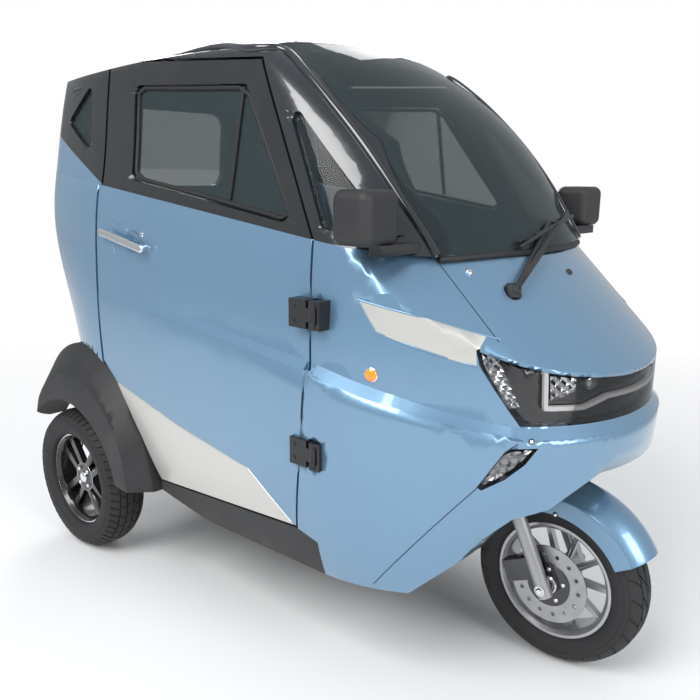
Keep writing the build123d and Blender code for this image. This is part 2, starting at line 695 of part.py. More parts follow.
def wheel_plane(x, y, r):
    """Section plane through a wheel's axle: first axis along the axle, second outwards."""
    return Plane(origin=(x, y, r), x_dir=(0, 1, 0), z_dir=(1, 0, 0))


def tyre(x, y, r, width):
    """Tyre of revolution; its crown is a few flat bands on an arc, which keeps its faces few."""
    half = width / 2
    bead = RIM_R + BEAD_CLEAR
    edge = half - 5
    crown = [
        (edge * step / CROWN_BANDS, r - SHOULDER_DROP * ((abs(step) - 1) / (CROWN_BANDS - 1)) ** 2)
        for step in CROWN_STEPS
    ]
    with BuildPart() as ring:
        with BuildSketch(wheel_plane(x, y, r)):
            with BuildLine():
                Polyline(
                    (-half + 12, bead), (-half, bead + 28), *crown, (half, bead + 28), (half - 12, bead),
                    (half - TYRE_WALL, bead), (half - 16, r - 34), (-half + 16, r - 34), (-half + TYRE_WALL, bead),
                    close=True,
                )
            make_face()
        revolve(axis=Axis((x, y, r), (0, 1, 0)))
    return ring.part


def rim_barrel(x, y, r, half):
    lip = RIM_R
    with BuildPart() as ring:
        with BuildSketch(wheel_plane(x, y, r)):
            with BuildLine():
                Polyline((-half, lip), (-half + 6, lip), (-half + 12, lip - 14), (half - 12, lip - 14), (half - 6, lip),
                    (half, lip), (half, lip - RIM_LIP), (half - 14, lip - 20), (-half + 14, lip - 20), (-half, lip - RIM_LIP),
                    close=True)
            make_face()
        revolve(axis=Axis((x, y, r), (0, 1, 0)))
    return ring.part


def disc(x, y0, y1, z, r0, r1):
    """Ring about an axle along Y, from y0 to y1."""
    with BuildPart() as ring:
        with BuildSketch(Plane.XZ.offset(-y0)):
            with Locations((x, z)):
                Circle(r1)
                Circle(r0, mode=Mode.SUBTRACT)
        extrude(amount=-(y1 - y0))
    return ring.part


# Rear wheels: V-shaped double spokes in a shallow dish
REAR_RIM_HALF = 48
REAR_FACE_Y = REAR_WHEEL_Y + 26
keep_pair(tyre(REAR_AXLE_X, REAR_WHEEL_Y, REAR_TYRE_R, REAR_TYRE_W), "rear_tyre")
with BuildPart() as rear_rim:
    add(rim_barrel(REAR_AXLE_X, REAR_WHEEL_Y, REAR_TYRE_R, REAR_RIM_HALF))
    add(disc(REAR_AXLE_X, HUB_FACE_Y + 0.5, REAR_FACE_Y, REAR_TYRE_R, STUB_R + SHAFT_CLEAR, 52))
    with BuildSketch(Plane.XZ.offset(-REAR_FACE_Y)):
        with Locations((REAR_AXLE_X, REAR_TYRE_R)):
            with PolarLocations(0, 4, start_angle=45):
                Polygon((36, 8), (150, 20), (150, 46), (36, 30), align=None)
                Polygon((36, -30), (150, -46), (150, -20), (36, -8), align=None)
    extrude(amount=22)
keep_pair(rear_rim.part, "rear_rim")

# Front wheel: hub, ten spokes and a drilled brake disc on the right
FRONT_RIM_HALF = 51
HUB_R = 36
AXLE_PIN_R = 8
DISC_Y = -73.5
keep(tyre(FRONT_AXLE_X, 0, FRONT_TYRE_R, FRONT_TYRE_W), "front_tyre")
with BuildPart() as front_rim:
    add(rim_barrel(FRONT_AXLE_X, 0, FRONT_TYRE_R, FRONT_RIM_HALF))
    add(disc(FRONT_AXLE_X, -71.5, 71.5, FRONT_TYRE_R, AXLE_PIN_R + SHAFT_CLEAR, HUB_R))
    with BuildSketch(Plane.XZ.offset(10)):
        with Locations((FRONT_AXLE_X, FRONT_TYRE_R)):
            with PolarLocations(0, 10):
                Polygon((28, -9), (150, -6), (150, 6), (28, 9), align=None)
    extrude(amount=-20)
keep(front_rim.part, "front_rim")
with BuildPart() as brake_disc:
    add(disc(FRONT_AXLE_X, DISC_Y - 2, DISC_Y + 1.7, FRONT_TYRE_R, 20, 110))
    with BuildSketch(Plane.XZ.offset(-DISC_Y - 10)):
        with Locations((FRONT_AXLE_X, FRONT_TYRE_R)):
            with PolarLocations(86, 14):
                Circle(6)
    extrude(amount=40, both=True, mode=Mode.SUBTRACT)
keep(brake_disc.part, "front_brake_disc")

# Fork: axle, two legs, yoke and stem about the raked steering axis
LEG_Y = 108
LEG_R = 20
YOKE_LOW = 318
YOKE_HIGH = 345
STEM_TOP = 780
FENDER_SKIRT_Y = 77
with BuildPart() as fork:
    for side in (1, -1):
        with BuildSketch(steer_plane.offset(-24)):
            with Locations((0, side * LEG_Y)):
                Circle(LEG_R)
        extrude(amount=YOKE_HIGH + 24)
    with BuildSketch(steer_plane.offset(YOKE_LOW)):
        RectangleRounded(66, 2 * LEG_Y + 52, 25)
    extrude(amount=YOKE_HIGH - YOKE_LOW)
    with BuildSketch(steer_plane.offset(YOKE_LOW + 5)):
        Circle(STEM_R)
    extrude(amount=STEM_TOP - YOKE_LOW - 5)
    with BuildSketch(Plane.XZ.offset(-LEG_Y)):
        with Locations((FRONT_AXLE_X, FRONT_TYRE_R)):
            Circle(AXLE_PIN_R)
    extrude(amount=2 * LEG_Y)
    for side in (1, -1):
        with BuildSketch(steer_plane.offset(205)):
            with Locations((0, side * (FENDER_SKIRT_Y + 0.3 + LEG_Y) / 2)):
                Rectangle(22, LEG_Y - FENDER_SKIRT_Y - 0.3)
        extrude(amount=30)
keep(fork.part, "fork")

with BuildPart() as caliper:
    with BuildSketch(steer_plane.offset(25)):
        with Locations((-80, -81)):
            RectangleRounded(56, 44, 8)
        with Locations((-42, -97.5)):
            Rectangle(43, 11)
    extrude(amount=60)
    add(disc(FRONT_AXLE_X, DISC_Y - 5, DISC_Y + 4.7, FRONT_TYRE_R, 1, 118), mode=Mode.SUBTRACT)
    with BuildSketch(steer_plane):
        with Locations((0, -LEG_Y)):
            Circle(LEG_R + 0.3)
    extrude(amount=200, mode=Mode.SUBTRACT)
keep(largest(caliper.part), "front_caliper")

# Handlebar across the stem
with BuildPart() as bar:
    with BuildLine(steer_plane.offset(STEM_TOP - 14)) as bar_line:
        FilletPolyline((-52, -270), (-40, -150), (0, -70), (0, 70), (-40, 150), (-52, 270), radius=40)
    with BuildSketch(Plane(bar_line.line @ 0, z_dir=bar_line.line % 0)):
        Circle(11)
    sweep(path=bar_line.line)
    with BuildSketch(steer_plane.offset(STEM_TOP + 0.3)):
        RectangleRounded(90, 150, 20)
    extrude(amount=34)
    with BuildSketch(steer_plane.offset(STEM_TOP - 30)):
        Circle(STEM_R + 16)
    extrude(amount=36)
    add(fork.part, mode=Mode.SUBTRACT)
keep(largest(bar.part), "handlebar")

# Front fender: a rounded channel swept about the axle
start = math.radians(FENDER_START)
fender_plane = Plane(
    origin=(FRONT_AXLE_X, 0, FRONT_TYRE_R), x_dir=(0, 1, 0), z_dir=(math.sin(start), 0, -math.cos(start))
)
with BuildPart() as fender:
    with BuildSketch(fender_plane):
        with BuildLine():
            Line((-FENDER_SKIRT_Y, 205), (-FENDER_SKIRT_Y, 250))
            ThreePointArc((-FENDER_SKIRT_Y, 250), (0, FENDER_R + FENDER_WALL), (FENDER_SKIRT_Y, 250))
            Line((FENDER_SKIRT_Y, 250), (FENDER_SKIRT_Y, 205))
            Line((FENDER_SKIRT_Y, 205), (FENDER_SKIRT_Y - FENDER_WALL, 205))
            Line((FENDER_SKIRT_Y - FENDER_WALL, 205), (FENDER_SKIRT_Y - FENDER_WALL, 248))
            ThreePointArc((FENDER_SKIRT_Y - FENDER_WALL, 248), (0, FENDER_R), (-FENDER_SKIRT_Y + FENDER_WALL, 248))
            Line((-FENDER_SKIRT_Y + FENDER_WALL, 248), (-FENDER_SKIRT_Y + FENDER_WALL, 205))
            Line((-FENDER_SKIRT_Y + FENDER_WALL, 205), (-FENDER_SKIRT_Y, 205))
        make_face()
    revolve(axis=Axis((FRONT_AXLE_X, 0, FRONT_TYRE_R), (0, -1, 0)), revolution_arc=FENDER_SWEEP)
keep(fender.part, "front_fender")

# Mirrors on arms from the cabin corners
with BuildPart() as mirror_left:
    with Locations((515, 545, 1238)):
        Box(110, 124, 124)
    fillet(mirror_left.edges(), 24)
    with Locations((550, 480, 1166)):
        Box(40, 140, 24)
    add(body_block, mode=Mode.SUBTRACT)
    add(cabin_block, mode=Mode.SUBTRACT)
keep(on_both_sides(largest(mirror_left.part)), "mirrors")

# Wiper: pivot on the bonnet, arm up to the blade on the screen
with BuildPart() as wiper:
    with BuildLine() as arm_line:
        Polyline((729, -248, 1056), (741, -236, 1092), (656, 60, 1212), (664, 84, 1210))
    with BuildSketch(Plane(arm_line.line @ 0, z_dir=arm_line.line % 0)):
        Circle(5)
    sweep(path=arm_line.line, transition=Transition.RIGHT)
    with Locations((729, -248, 1066)):
        Cylinder(17, 30)
    with BuildLine() as blade_line:
        ThreePointArc((690, -150, 1160), (668, 80, 1204), (596, 330, 1216))
    with BuildSketch(Plane(blade_line.line @ 0, z_dir=blade_line.line % 0)):
        Circle(5)
    sweep(path=blade_line.line)
    add(bonnet_skin, mode=Mode.SUBTRACT)
    add(screen, mode=Mode.SUBTRACT)
keep(wiper.part, "wiper")
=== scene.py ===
import json
import math

import bmesh
import bpy
from mathutils import Matrix, Vector
from mathutils.bvhtree import BVHTree

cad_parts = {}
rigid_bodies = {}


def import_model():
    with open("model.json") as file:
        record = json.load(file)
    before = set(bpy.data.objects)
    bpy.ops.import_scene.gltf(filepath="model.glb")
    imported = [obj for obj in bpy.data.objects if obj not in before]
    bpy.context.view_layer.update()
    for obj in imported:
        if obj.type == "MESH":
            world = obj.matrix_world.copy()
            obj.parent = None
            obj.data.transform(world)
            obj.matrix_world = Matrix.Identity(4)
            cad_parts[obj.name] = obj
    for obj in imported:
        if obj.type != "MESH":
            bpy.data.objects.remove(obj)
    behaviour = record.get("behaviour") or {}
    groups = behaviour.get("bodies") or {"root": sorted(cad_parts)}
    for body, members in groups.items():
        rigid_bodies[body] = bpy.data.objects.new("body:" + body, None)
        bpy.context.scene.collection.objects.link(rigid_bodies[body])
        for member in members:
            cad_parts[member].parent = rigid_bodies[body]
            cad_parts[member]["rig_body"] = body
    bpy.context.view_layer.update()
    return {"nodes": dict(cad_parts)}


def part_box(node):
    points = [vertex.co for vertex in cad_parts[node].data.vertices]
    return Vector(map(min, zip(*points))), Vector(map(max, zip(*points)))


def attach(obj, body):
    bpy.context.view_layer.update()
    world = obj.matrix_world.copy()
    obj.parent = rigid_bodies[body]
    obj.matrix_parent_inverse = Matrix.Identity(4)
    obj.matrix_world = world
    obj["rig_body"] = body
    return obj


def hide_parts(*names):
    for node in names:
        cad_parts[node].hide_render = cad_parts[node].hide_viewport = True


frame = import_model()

# The camera stands at the front right corner, a little above the mirrors, where the photograph
# was taken. Its place was worked out from the wheels, the mirrors and the outline of the body.
CAMERA_AT = Vector((1.609, -1.856, 1.331))
VIEW_RIGHT = Vector((0.7519, 0.6592, 0.0092))
VIEW_UP = Vector((-0.1551, 0.1634, 0.9743))
VIEW_BACK = Vector((0.6407, -0.7340, 0.2251))
PHOTO_SIDE = 700
FOCAL_PIXELS = 756.3
CENTRE_PIXEL = (347.2, 349.2)
camera = bpy.data.objects.new("camera", bpy.data.cameras.new("camera"))
bpy.context.scene.collection.objects.link(camera)
camera.data.sensor_width = 36
camera.data.lens = 36 * FOCAL_PIXELS / PHOTO_SIDE
camera.data.shift_x = 0.004
camera.data.shift_y = -0.001
view_turn = Matrix((VIEW_RIGHT, VIEW_UP, VIEW_BACK)).transposed().to_4x4()
camera.matrix_world = Matrix.Translation(CAMERA_AT) @ view_turn
bpy.context.scene.camera = camera


def sight(px, py):
    """The direction in which a pixel of the photograph looks."""
    x = (px - CENTRE_PIXEL[0]) / FOCAL_PIXELS
    y = (CENTRE_PIXEL[1] - py) / FOCAL_PIXELS
    return (VIEW_RIGHT * x + VIEW_UP * y - VIEW_BACK).normalized()


# The studio is a pale round floor that fades to white, a white world and three large soft lamps:
# a key lamp over the camera's left shoulder, a fill at the nose and a weak one behind.
bpy.context.scene.view_settings.view_transform = "Standard"


def nodes_of(material):
    material.use_nodes = True
    tree = material.node_tree
    tree.nodes.clear()
    return tree.nodes, tree.links


def seen_directly(nodes, links):
    """One for rays from the camera or through glass, and zero for the rays that light the object."""
    path = nodes.new("ShaderNodeLightPath")
    first = nodes.new("ShaderNodeMath")
    first.operation = "MAXIMUM"
    links.new(path.outputs["Is Camera Ray"], first.inputs[0])
    links.new(path.outputs["Is Transmission Ray"], first.inputs[1])
    return first.outputs[0]


world = bpy.data.worlds.new("studio_world")
bpy.context.scene.world = world
nodes, links = nodes_of(world)
sky = nodes.new("ShaderNodeBackground")
sky.inputs["Color"].default_value = (0.92, 0.96, 1.0, 1)
sky.inputs["Strength"].default_value = 0.55
white = nodes.new("ShaderNodeBackground")
white.inputs["Color"].default_value = (1, 1, 1, 1)
white.inputs["Strength"].default_value = 1.0
mix = nodes.new("ShaderNodeMixShader")
links.new(seen_directly(nodes, links), mix.inputs[0])
links.new(sky.outputs[0], mix.inputs[1])
links.new(white.outputs[0], mix.inputs[2])
links.new(mix.outputs[0], nodes.new("ShaderNodeOutputWorld").inputs["Surface"])

FLOOR_RADIUS = 30
FADE_FROM = 1.6
FADE_TO = 4.2
bpy.ops.object.select_all(action="DESELECT")
bpy.ops.mesh.primitive_circle_add(vertices=96, radius=FLOOR_RADIUS, fill_type="NGON", location=(0, 0, 0))
floor = bpy.context.object
floor.name = "studio_floor"
floor_finish = bpy.data.materials.new("floor_pale")
nodes, links = nodes_of(floor_finish)
place = nodes.new("ShaderNodeTexCoord")
length = nodes.new("ShaderNodeVectorMath")
length.operation = "LENGTH"
links.new(place.outputs["Object"], length.inputs[0])
fade = nodes.new("ShaderNodeMapRange")
fade.inputs["From Min"].default_value = FADE_FROM
fade.inputs["From Max"].default_value = FADE_TO
links.new(length.outputs["Value"], fade.inputs["Value"])
direct = nodes.new("ShaderNodeMath")
direct.operation = "MULTIPLY"
links.new(fade.outputs[0], direct.inputs[0])
links.new(seen_directly(nodes, links), direct.inputs[1])
plain = nodes.new("ShaderNodeBsdfPrincipled")
plain.inputs["Base Color"].default_value = (0.86, 0.86, 0.86, 1)
plain.inputs["Roughness"].default_value = 0.8
glow = nodes.new("ShaderNodeEmission")
glow.inputs["Color"].default_value = (1, 1, 1, 1)
glow.inputs["Strength"].default_value = 1.0
mix = nodes.new("ShaderNodeMixShader")
links.new(direct.outputs[0], mix.inputs[0])
links.new(plain.outputs[0], mix.inputs[1])
links.new(glow.outputs[0], mix.inputs[2])
links.new(mix.outputs[0], nodes.new("ShaderNodeOutputMaterial").inputs["Surface"])
floor.data.materials.append(floor_finish)

for name, at, size, power in (
    ("key_lamp", (0.4, -4.2, 4.6), 3.2, 260),
    ("nose_lamp", (5.2, -0.6, 3.0), 2.4, 120),
    ("back_lamp", (-3.8, 3.4, 3.6), 3.0, 110),
):
    lamp = bpy.data.objects.new(name, bpy.data.lights.new(name, "AREA"))
    bpy.context.scene.collection.objects.link(lamp)
    lamp.data.size = size
    lamp.data.energy = power
    lamp.location = at
    lamp.rotation_euler = (Vector((0, 0, 0.8)) - Vector(at)).to_track_quat("-Z", "Y").to_euler()


# The painted panels are pressed steel and moulded plastic in a light blue metallic paint under a
# clear coat: the bonnet, bumper, quarters, door skins, tail panel and the fender over the front wheel.
def worn_surface():
    """Uneven colour and roughness with a fine grain, as every real surface has."""
    group = bpy.data.node_groups.new("worn_surface", "ShaderNodeTree")
    group.interface.new_socket(name="Colour", in_out="INPUT", socket_type="NodeSocketColor")
    for name in ("Spread", "Roughness", "Rough Spread", "Patch Scale", "Grain Scale"):
        group.interface.new_socket(name=name, in_out="INPUT", socket_type="NodeSocketFloat")
    group.interface.new_socket(name="Colour", in_out="OUTPUT", socket_type="NodeSocketColor")
    for name in ("Roughness", "Height"):
        group.interface.new_socket(name=name, in_out="OUTPUT", socket_type="NodeSocketFloat")
    nodes, links = group.nodes, group.links
    given = nodes.new("NodeGroupInput")
    result = nodes.new("NodeGroupOutput")
    place = nodes.new("ShaderNodeTexCoord")
    patches = nodes.new("ShaderNodeTexNoise")
    patches.inputs["Detail"].default_value = 5
    links.new(place.outputs["Object"], patches.inputs["Vector"])
    links.new(given.outputs["Patch Scale"], patches.inputs["Scale"])
    spread = nodes.new("ShaderNodeMapRange")
    spread.inputs["From Min"].default_value = 0.3
    spread.inputs["From Max"].default_value = 0.7
    spread.inputs["To Min"].default_value = -1
    spread.inputs["To Max"].default_value = 1
    links.new(patches.outputs["Fac"], spread.inputs["Value"])
    shade = nodes.new("ShaderNodeMath")
    shade.operation = "MULTIPLY_ADD"
    shade.inputs[2].default_value = 1
    links.new(spread.outputs[0], shade.inputs[0])
    links.new(given.outputs["Spread"], shade.inputs[1])
    tint = nodes.new("ShaderNodeVectorMath")
    tint.operation = "SCALE"
    links.new(given.outputs["Colour"], tint.inputs[0])
    links.new(shade.outputs[0], tint.inputs["Scale"])
    links.new(tint.outputs[0], result.inputs["Colour"])
    rough = nodes.new("ShaderNodeMath")
    rough.operation = "MULTIPLY_ADD"
    links.new(spread.outputs[0], rough.inputs[0])
    links.new(given.outputs["Rough Spread"], rough.inputs[1])
    links.new(given.outputs["Roughness"], rough.inputs[2])
    links.new(rough.outputs[0], result.inputs["Roughness"])
    grain = nodes.new("ShaderNodeTexNoise")
    grain.inputs["Detail"].default_value = 3
    links.new(place.outputs["Object"], grain.inputs["Vector"])
    links.new(given.outputs["Grain Scale"], grain.inputs["Scale"])
    links.new(grain.outputs["Fac"], result.inputs["Height"])
    return group


WORN = worn_surface()


def finish(name, colour, rough, metal=0.0, spread=0.05, rough_spread=0.04, patch=6.0, grain=900.0, bump=0.05,
           depth=0.0004, coat=0.0, coat_rough=0.03):
    """A material of one colour with the worn surface over it, and a clear coat where it has one."""
    material = bpy.data.materials.new(name)
    nodes, links = nodes_of(material)
    worn = nodes.new("ShaderNodeGroup")
    worn.node_tree = WORN
    worn.inputs["Colour"].default_value = (*colour, 1)
    worn.inputs["Spread"].default_value = spread
    worn.inputs["Roughness"].default_value = rough
    worn.inputs["Rough Spread"].default_value = rough_spread
    worn.inputs["Patch Scale"].default_value = patch
    worn.inputs["Grain Scale"].default_value = grain
    shader = nodes.new("ShaderNodeBsdfPrincipled")
    shader.name = "shader"
    shader.inputs["Metallic"].default_value = metal
    shader.inputs["Coat Weight"].default_value = coat
    shader.inputs["Coat Roughness"].default_value = coat_rough
    relief = nodes.new("ShaderNodeBump")
    relief.inputs["Strength"].default_value = bump
    relief.inputs["Distance"].default_value = depth
    links.new(worn.outputs["Colour"], shader.inputs["Base Color"])
    links.new(worn.outputs["Roughness"], shader.inputs["Roughness"])
    links.new(worn.outputs["Height"], relief.inputs["Height"])
    links.new(relief.outputs["Normal"], shader.inputs["Normal"])
    links.new(shader.outputs[0], nodes.new("ShaderNodeOutputMaterial").inputs["Surface"])
    return material


def select_only(piece):
    bpy.ops.object.select_all(action="DESELECT")
    piece.select_set(True)
    bpy.context.view_layer.objects.active = piece


def body_of(node):
    return frame["nodes"][node]["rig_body"]


def dressed(node, name, material, sharp=28):
    """A copy of a piece of the frame with its triangles joined, so that curved panels shade smoothly."""
    piece = bpy.data.objects.new(name, frame["nodes"][node].data.copy())
    bpy.context.scene.collection.objects.link(piece)
    select_only(piece)
    bpy.ops.object.mode_set(mode="EDIT")
    bpy.ops.mesh.select_all(action="SELECT")
    bpy.ops.mesh.remove_doubles(threshold=0.00002)
    bpy.ops.object.mode_set(mode="OBJECT")
    bpy.ops.object.shade_smooth_by_angle(angle=math.radians(sharp))
    smoother = piece.modifiers.new("even_shading", "WEIGHTED_NORMAL")
    smoother.keep_sharp = True
    bpy.ops.object.modifier_apply(modifier=smoother.name)
    piece.data.materials.clear()
    piece.data.materials.append(material)
    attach(piece, body_of(node))
    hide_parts(node)
    return piece


PAINT_BLUE = (0.165, 0.300, 0.445)
blue_paint = finish("blue_paint", PAINT_BLUE, 0.34, metal=0.55, spread=0.025, rough_spread=0.02, patch=2.5,
                    grain=2600, bump=0.03, depth=0.0002, coat=1.0, coat_rough=0.02)
bonnet = dressed("bonnet", "bonnet_skin", blue_paint)
bumper = dressed("bumper", "bumper_skin", blue_paint)
front_quarters = dressed("front_quarters", "front_quarter_skins", blue_paint)
rear_quarters = dressed("rear_quarters", "rear_quarter_skins", blue_paint)
tail_panel = dressed("tail_panel", "tail_panel_skin", blue_paint)
front_fender = dressed("front_fender", "front_fender_skin", blue_paint)
door_skins = {side: dressed("door_skin_" + side, "door_outer_" + side, blue_paint)
              for side in ("left", "right")}

# The silver pieces are the band below each door and the strip beside the bonnet, in a satin
# champagne metallic without a deep clear coat.
silver_paint = finish("silver_paint", (0.62, 0.61, 0.58), 0.36, metal=0.6, spread=0.03, patch=3, grain=2400,
                      bump=0.03, depth=0.0002, coat=0.5, coat_rough=0.08)
garnish = dressed("garnish", "nose_strips", silver_paint)
door_bands = {side: dressed("door_lower_panel_" + side, "door_band_" + side, silver_paint)
              for side in ("left", "right")}

# The window frames and pillars are pressed steel in a satin black, and the roof is glossier.
frame_black = finish("frame_black", (0.012, 0.013, 0.014), 0.33, spread=0.2, rough_spread=0.08, patch=5,
                     grain=1200, bump=0.06, coat=0.35, coat_rough=0.12)
roof_black = finish("roof_black", (0.010, 0.012, 0.016), 0.2, spread=0.15, rough_spread=0.05, patch=4,
                    grain=1500, bump=0.03, coat=0.9, coat_rough=0.04)
cabin_frames = dressed("cabin_frames", "front_pillars", roof_black)
rear_frames = dressed("rear_window_frames", "rear_pillars", frame_black)
roof = dressed("roof", "roof_skin", roof_black)
door_frames = {side: dressed("door_frame_" + side, "door_window_frame_" + side, frame_black)
               for side in ("left", "right")}

# The flares, sills, wheel housings, rear bumper and dashboard are moulded from black plastic with
# a fine leather grain, greyed a little where dust settles.
black_plastic = finish("black_plastic", (0.022, 0.022, 0.023), 0.55, spread=0.25, rough_spread=0.1, patch=7,
                       grain=1500, bump=0.35, depth=0.0006)
dressed("flares", "wheel_flares", black_plastic)
dressed("sills", "side_sills", black_plastic)
dressed("front_wheelhouse", "front_wheel_housing", black_plastic)
dressed("rear_tub", "rear_floor_tub", black_plastic)
dressed("rear_bumper", "rear_bumper_cover", black_plastic)
dressed("dashboard", "dashboard_cover", black_plastic)
dressed("battery_box", "battery_cover", black_plastic)
dressed("mirrors", "mirror_housings", black_plastic)
handlebar = dressed("handlebar", "handlebar_tube", black_plastic)

# The chassis, seat stand and floor are welded steel in black stove enamel.
enamel = finish("black_enamel", (0.02, 0.02, 0.021), 0.42, spread=0.3, rough_spread=0.1, patch=9,
                grain=700, bump=0.1)
dressed("chassis_frame", "chassis_tubes", enamel)
dressed("seat_frame", "seat_stand", enamel)
dressed("floor_pan", "floor_sheet_metal", enamel)

# The hinges are cast in black, with the fixed leaf on the body and the moving leaf on the door.
hinge_black = finish("hinge_black", (0.014, 0.014, 0.015), 0.38, spread=0.2, patch=20, grain=1500, bump=0.12)
fixed_leaves = dressed("body_hinges", "fixed_hinge_leaves", hinge_black)
moving_leaves = {
    side: dressed("door_hinges_" + side, "moving_hinge_leaves_" + side, hinge_black)
    for side in ("left", "right")}

# The windows are clear glass with a light grey tint, through which the cabin shows.
def clear_glass(name, tint, thin, edge):
    """Glass as a thin dark film that lets more light through head on than at a glancing angle."""
    material = bpy.data.materials.new(name)
    nodes, links = nodes_of(material)
    shader = nodes.new("ShaderNodeBsdfPrincipled")
    shader.name = "shader"
    shader.inputs["Base Color"].default_value = (*tint, 1)
    shader.inputs["Roughness"].default_value = 0.02
    shader.inputs["IOR"].default_value = 1.6
    facing = nodes.new("ShaderNodeLayerWeight")
    facing.inputs["Blend"].default_value = 0.35
    depth = nodes.new("ShaderNodeMapRange")
    depth.inputs["To Min"].default_value = thin
    depth.inputs["To Max"].default_value = edge
    links.new(facing.outputs["Fresnel"], depth.inputs["Value"])
    links.new(depth.outputs[0], shader.inputs["Alpha"])
    links.new(shader.outputs[0], nodes.new("ShaderNodeOutputMaterial").inputs["Surface"])
    return material


window_glass = clear_glass("window_glass", (0.05, 0.07, 0.075), 0.12, 0.85)
side_panes = dressed("side_windows", "side_panes", window_glass)
dressed("rear_window", "rear_pane", window_glass)
windscreen = dressed("windscreen", "screen_glass", window_glass)
door_panes = {side: dressed("door_glass_" + side, "door_pane_" + side, window_glass)
              for side in ("left", "right")}

# The lamps are black housings behind clear covers.
lamp_black = finish("lamp_black", (0.008, 0.008, 0.01), 0.12, spread=0.1, grain=1000, bump=0.0, coat=1.0)
headlamp = dressed("headlamp_housing", "headlamp_shells", lamp_black)
low_lamps = dressed("low_lamps", "low_lamp_shells", lamp_black)

# The running gear is silver painted fork legs, a cast axle, ground steel springs and discs, and
# cast alloy rims: silver at the front, black with bright edges at the rear.
cast_metal = finish("cast_metal", (0.12, 0.12, 0.125), 0.5, metal=0.7, spread=0.25,
                    patch=14, grain=500, bump=0.3)
spring_steel = finish("spring_steel", (0.42, 0.42, 0.43), 0.3, metal=1.0, spread=0.12,
                      patch=20, grain=1800, bump=0.05)
fork_silver = finish("fork_silver", (0.42, 0.42, 0.43), 0.38, metal=0.8, spread=0.06,
                     patch=12, grain=1500, bump=0.04)
alloy = finish("alloy_silver", (0.48, 0.48, 0.49), 0.34, metal=0.8, spread=0.06,
               patch=15, grain=1500, bump=0.05)
alloy_black = finish("alloy_black", (0.012, 0.012, 0.013), 0.25, spread=0.2,
                     patch=15, grain=1500, bump=0.05, coat=0.6)
chrome = finish("chrome", (0.82, 0.82, 0.83), 0.06, metal=1.0, spread=0.02, patch=20, grain=800, bump=0.0)
dressed("rear_axle", "rear_axle_casting", cast_metal)
dressed("front_caliper", "front_brake_caliper", cast_metal)
dressed("leaf_springs", "spring_packs", spring_steel)
dressed("front_brake_disc", "front_disc", spring_steel)
dressed("fork", "fork_legs", fork_silver)
dressed("front_rim", "front_wheel_rim", alloy)
rear_rims = {}
for side in ("left", "right"):
    rear_rims[side] = dressed("rear_rim_" + side, "rear_wheel_rim_" + side, alloy_black)
    dressed("door_handle_" + side, "door_pull_" + side, chrome)

# Trim that lies on the panels is placed by looking along a line at the panel that carries it.
def skin_of(*pieces):
    """A search tree over finished pieces, to find points on their faces."""
    points = []
    faces = []
    for piece in pieces:
        start = len(points)
        points += [vertex.co.copy() for vertex in piece.data.vertices]
        faces += [[start + i for i in face.vertices] for face in piece.data.polygons]
    return BVHTree.FromPolygons(points, faces)


def touch(skin, start, direction):
    """Where a line first meets the skin, and the normal there, turned to face the line."""
    hit, normal, _, _ = skin.ray_cast(Vector(start), Vector(direction).normalized())
    if hit is None:
        raise ValueError("no panel behind " + str(tuple(start)))
    if normal.dot(Vector(direction)) > 0:
        normal = -normal
    return hit, normal


OUTSIDE = 2


def from_side(skin, x, z):
    """The point and normal on the skin that is seen from straight out on the right."""
    return touch(skin, (x, -OUTSIDE, z), (0, 1, 0))


def from_front(skin, y, z):
    return touch(skin, (OUTSIDE, y, z), (-1, 0, 0))


def spread(points, step):
    """Points along a line of straight runs, no further apart than a step."""
    result = []
    for a, b in zip(points, points[1:]):
        count = max(1, round((Vector(b) - Vector(a)).length / step))
        result += [Vector(a).lerp(Vector(b), k / count) for k in range(count)]
    return result + [Vector(points[-1])]


def piece_of(name, points, faces, material, body, sharp=30, wall=0.0, inward=-1):
    """A mesh piece of its own, with a wall where one is given, its faces turned outwards."""
    mesh = bpy.data.meshes.new(name)
    mesh.from_pydata([tuple(p) for p in points], [], faces)
    mesh.update()
    piece = bpy.data.objects.new(name, mesh)
    bpy.context.scene.collection.objects.link(piece)
    mesh.materials.append(material)
    select_only(piece)
    if wall:
        thick = piece.modifiers.new("wall", "SOLIDIFY")
        thick.thickness = wall
        thick.offset = inward
        bpy.ops.object.modifier_apply(modifier=thick.name)
    bpy.ops.object.mode_set(mode="EDIT")
    bpy.ops.mesh.select_all(action="SELECT")
    bpy.ops.mesh.remove_doubles(threshold=0.000005)
    bpy.ops.mesh.normals_make_consistent(inside=False)
    bpy.ops.object.mode_set(mode="OBJECT")
    bpy.ops.object.shade_smooth_by_angle(angle=math.radians(sharp))
    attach(piece, body)
    return piece


def mirrored(piece, name, body):
    """The same piece on the other side of the vehicle."""
    mesh = piece.data.copy()
    for vertex in mesh.vertices:
        vertex.co.y = -vertex.co.y
    mesh.flip_normals()
    twin = bpy.data.objects.new(name, mesh)
    bpy.context.scene.collection.objects.link(twin)
    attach(twin, body)
    return twin


def ribbon(name, path, width, height, material, body, sunk=0.002):
    """A strip with a square section along points on a surface, given with their normals."""
    points = []
    faces = []
    for i, (point, normal) in enumerate(path):
        along = path[min(i + 1, len(path) - 1)][0] - path[max(i - 1, 0)][0]
        across = along.cross(normal).normalized() * width / 2
        for side, rise in ((-1, -sunk), (-1, height), (1, height), (1, -sunk)):
            points.append(point + across * side + normal * rise)
    for i in range(len(path) - 1):
        for k in range(4):
            faces.append((4 * i + k, 4 * i + (k + 1) % 4, 4 * i + 4 + (k + 1) % 4, 4 * i + 4 + k))
    faces.append((0, 1, 2, 3))
    faces.append(tuple(len(points) - 4 + k for k in (3, 2, 1, 0)))
    return piece_of(name, points, faces, material, body)


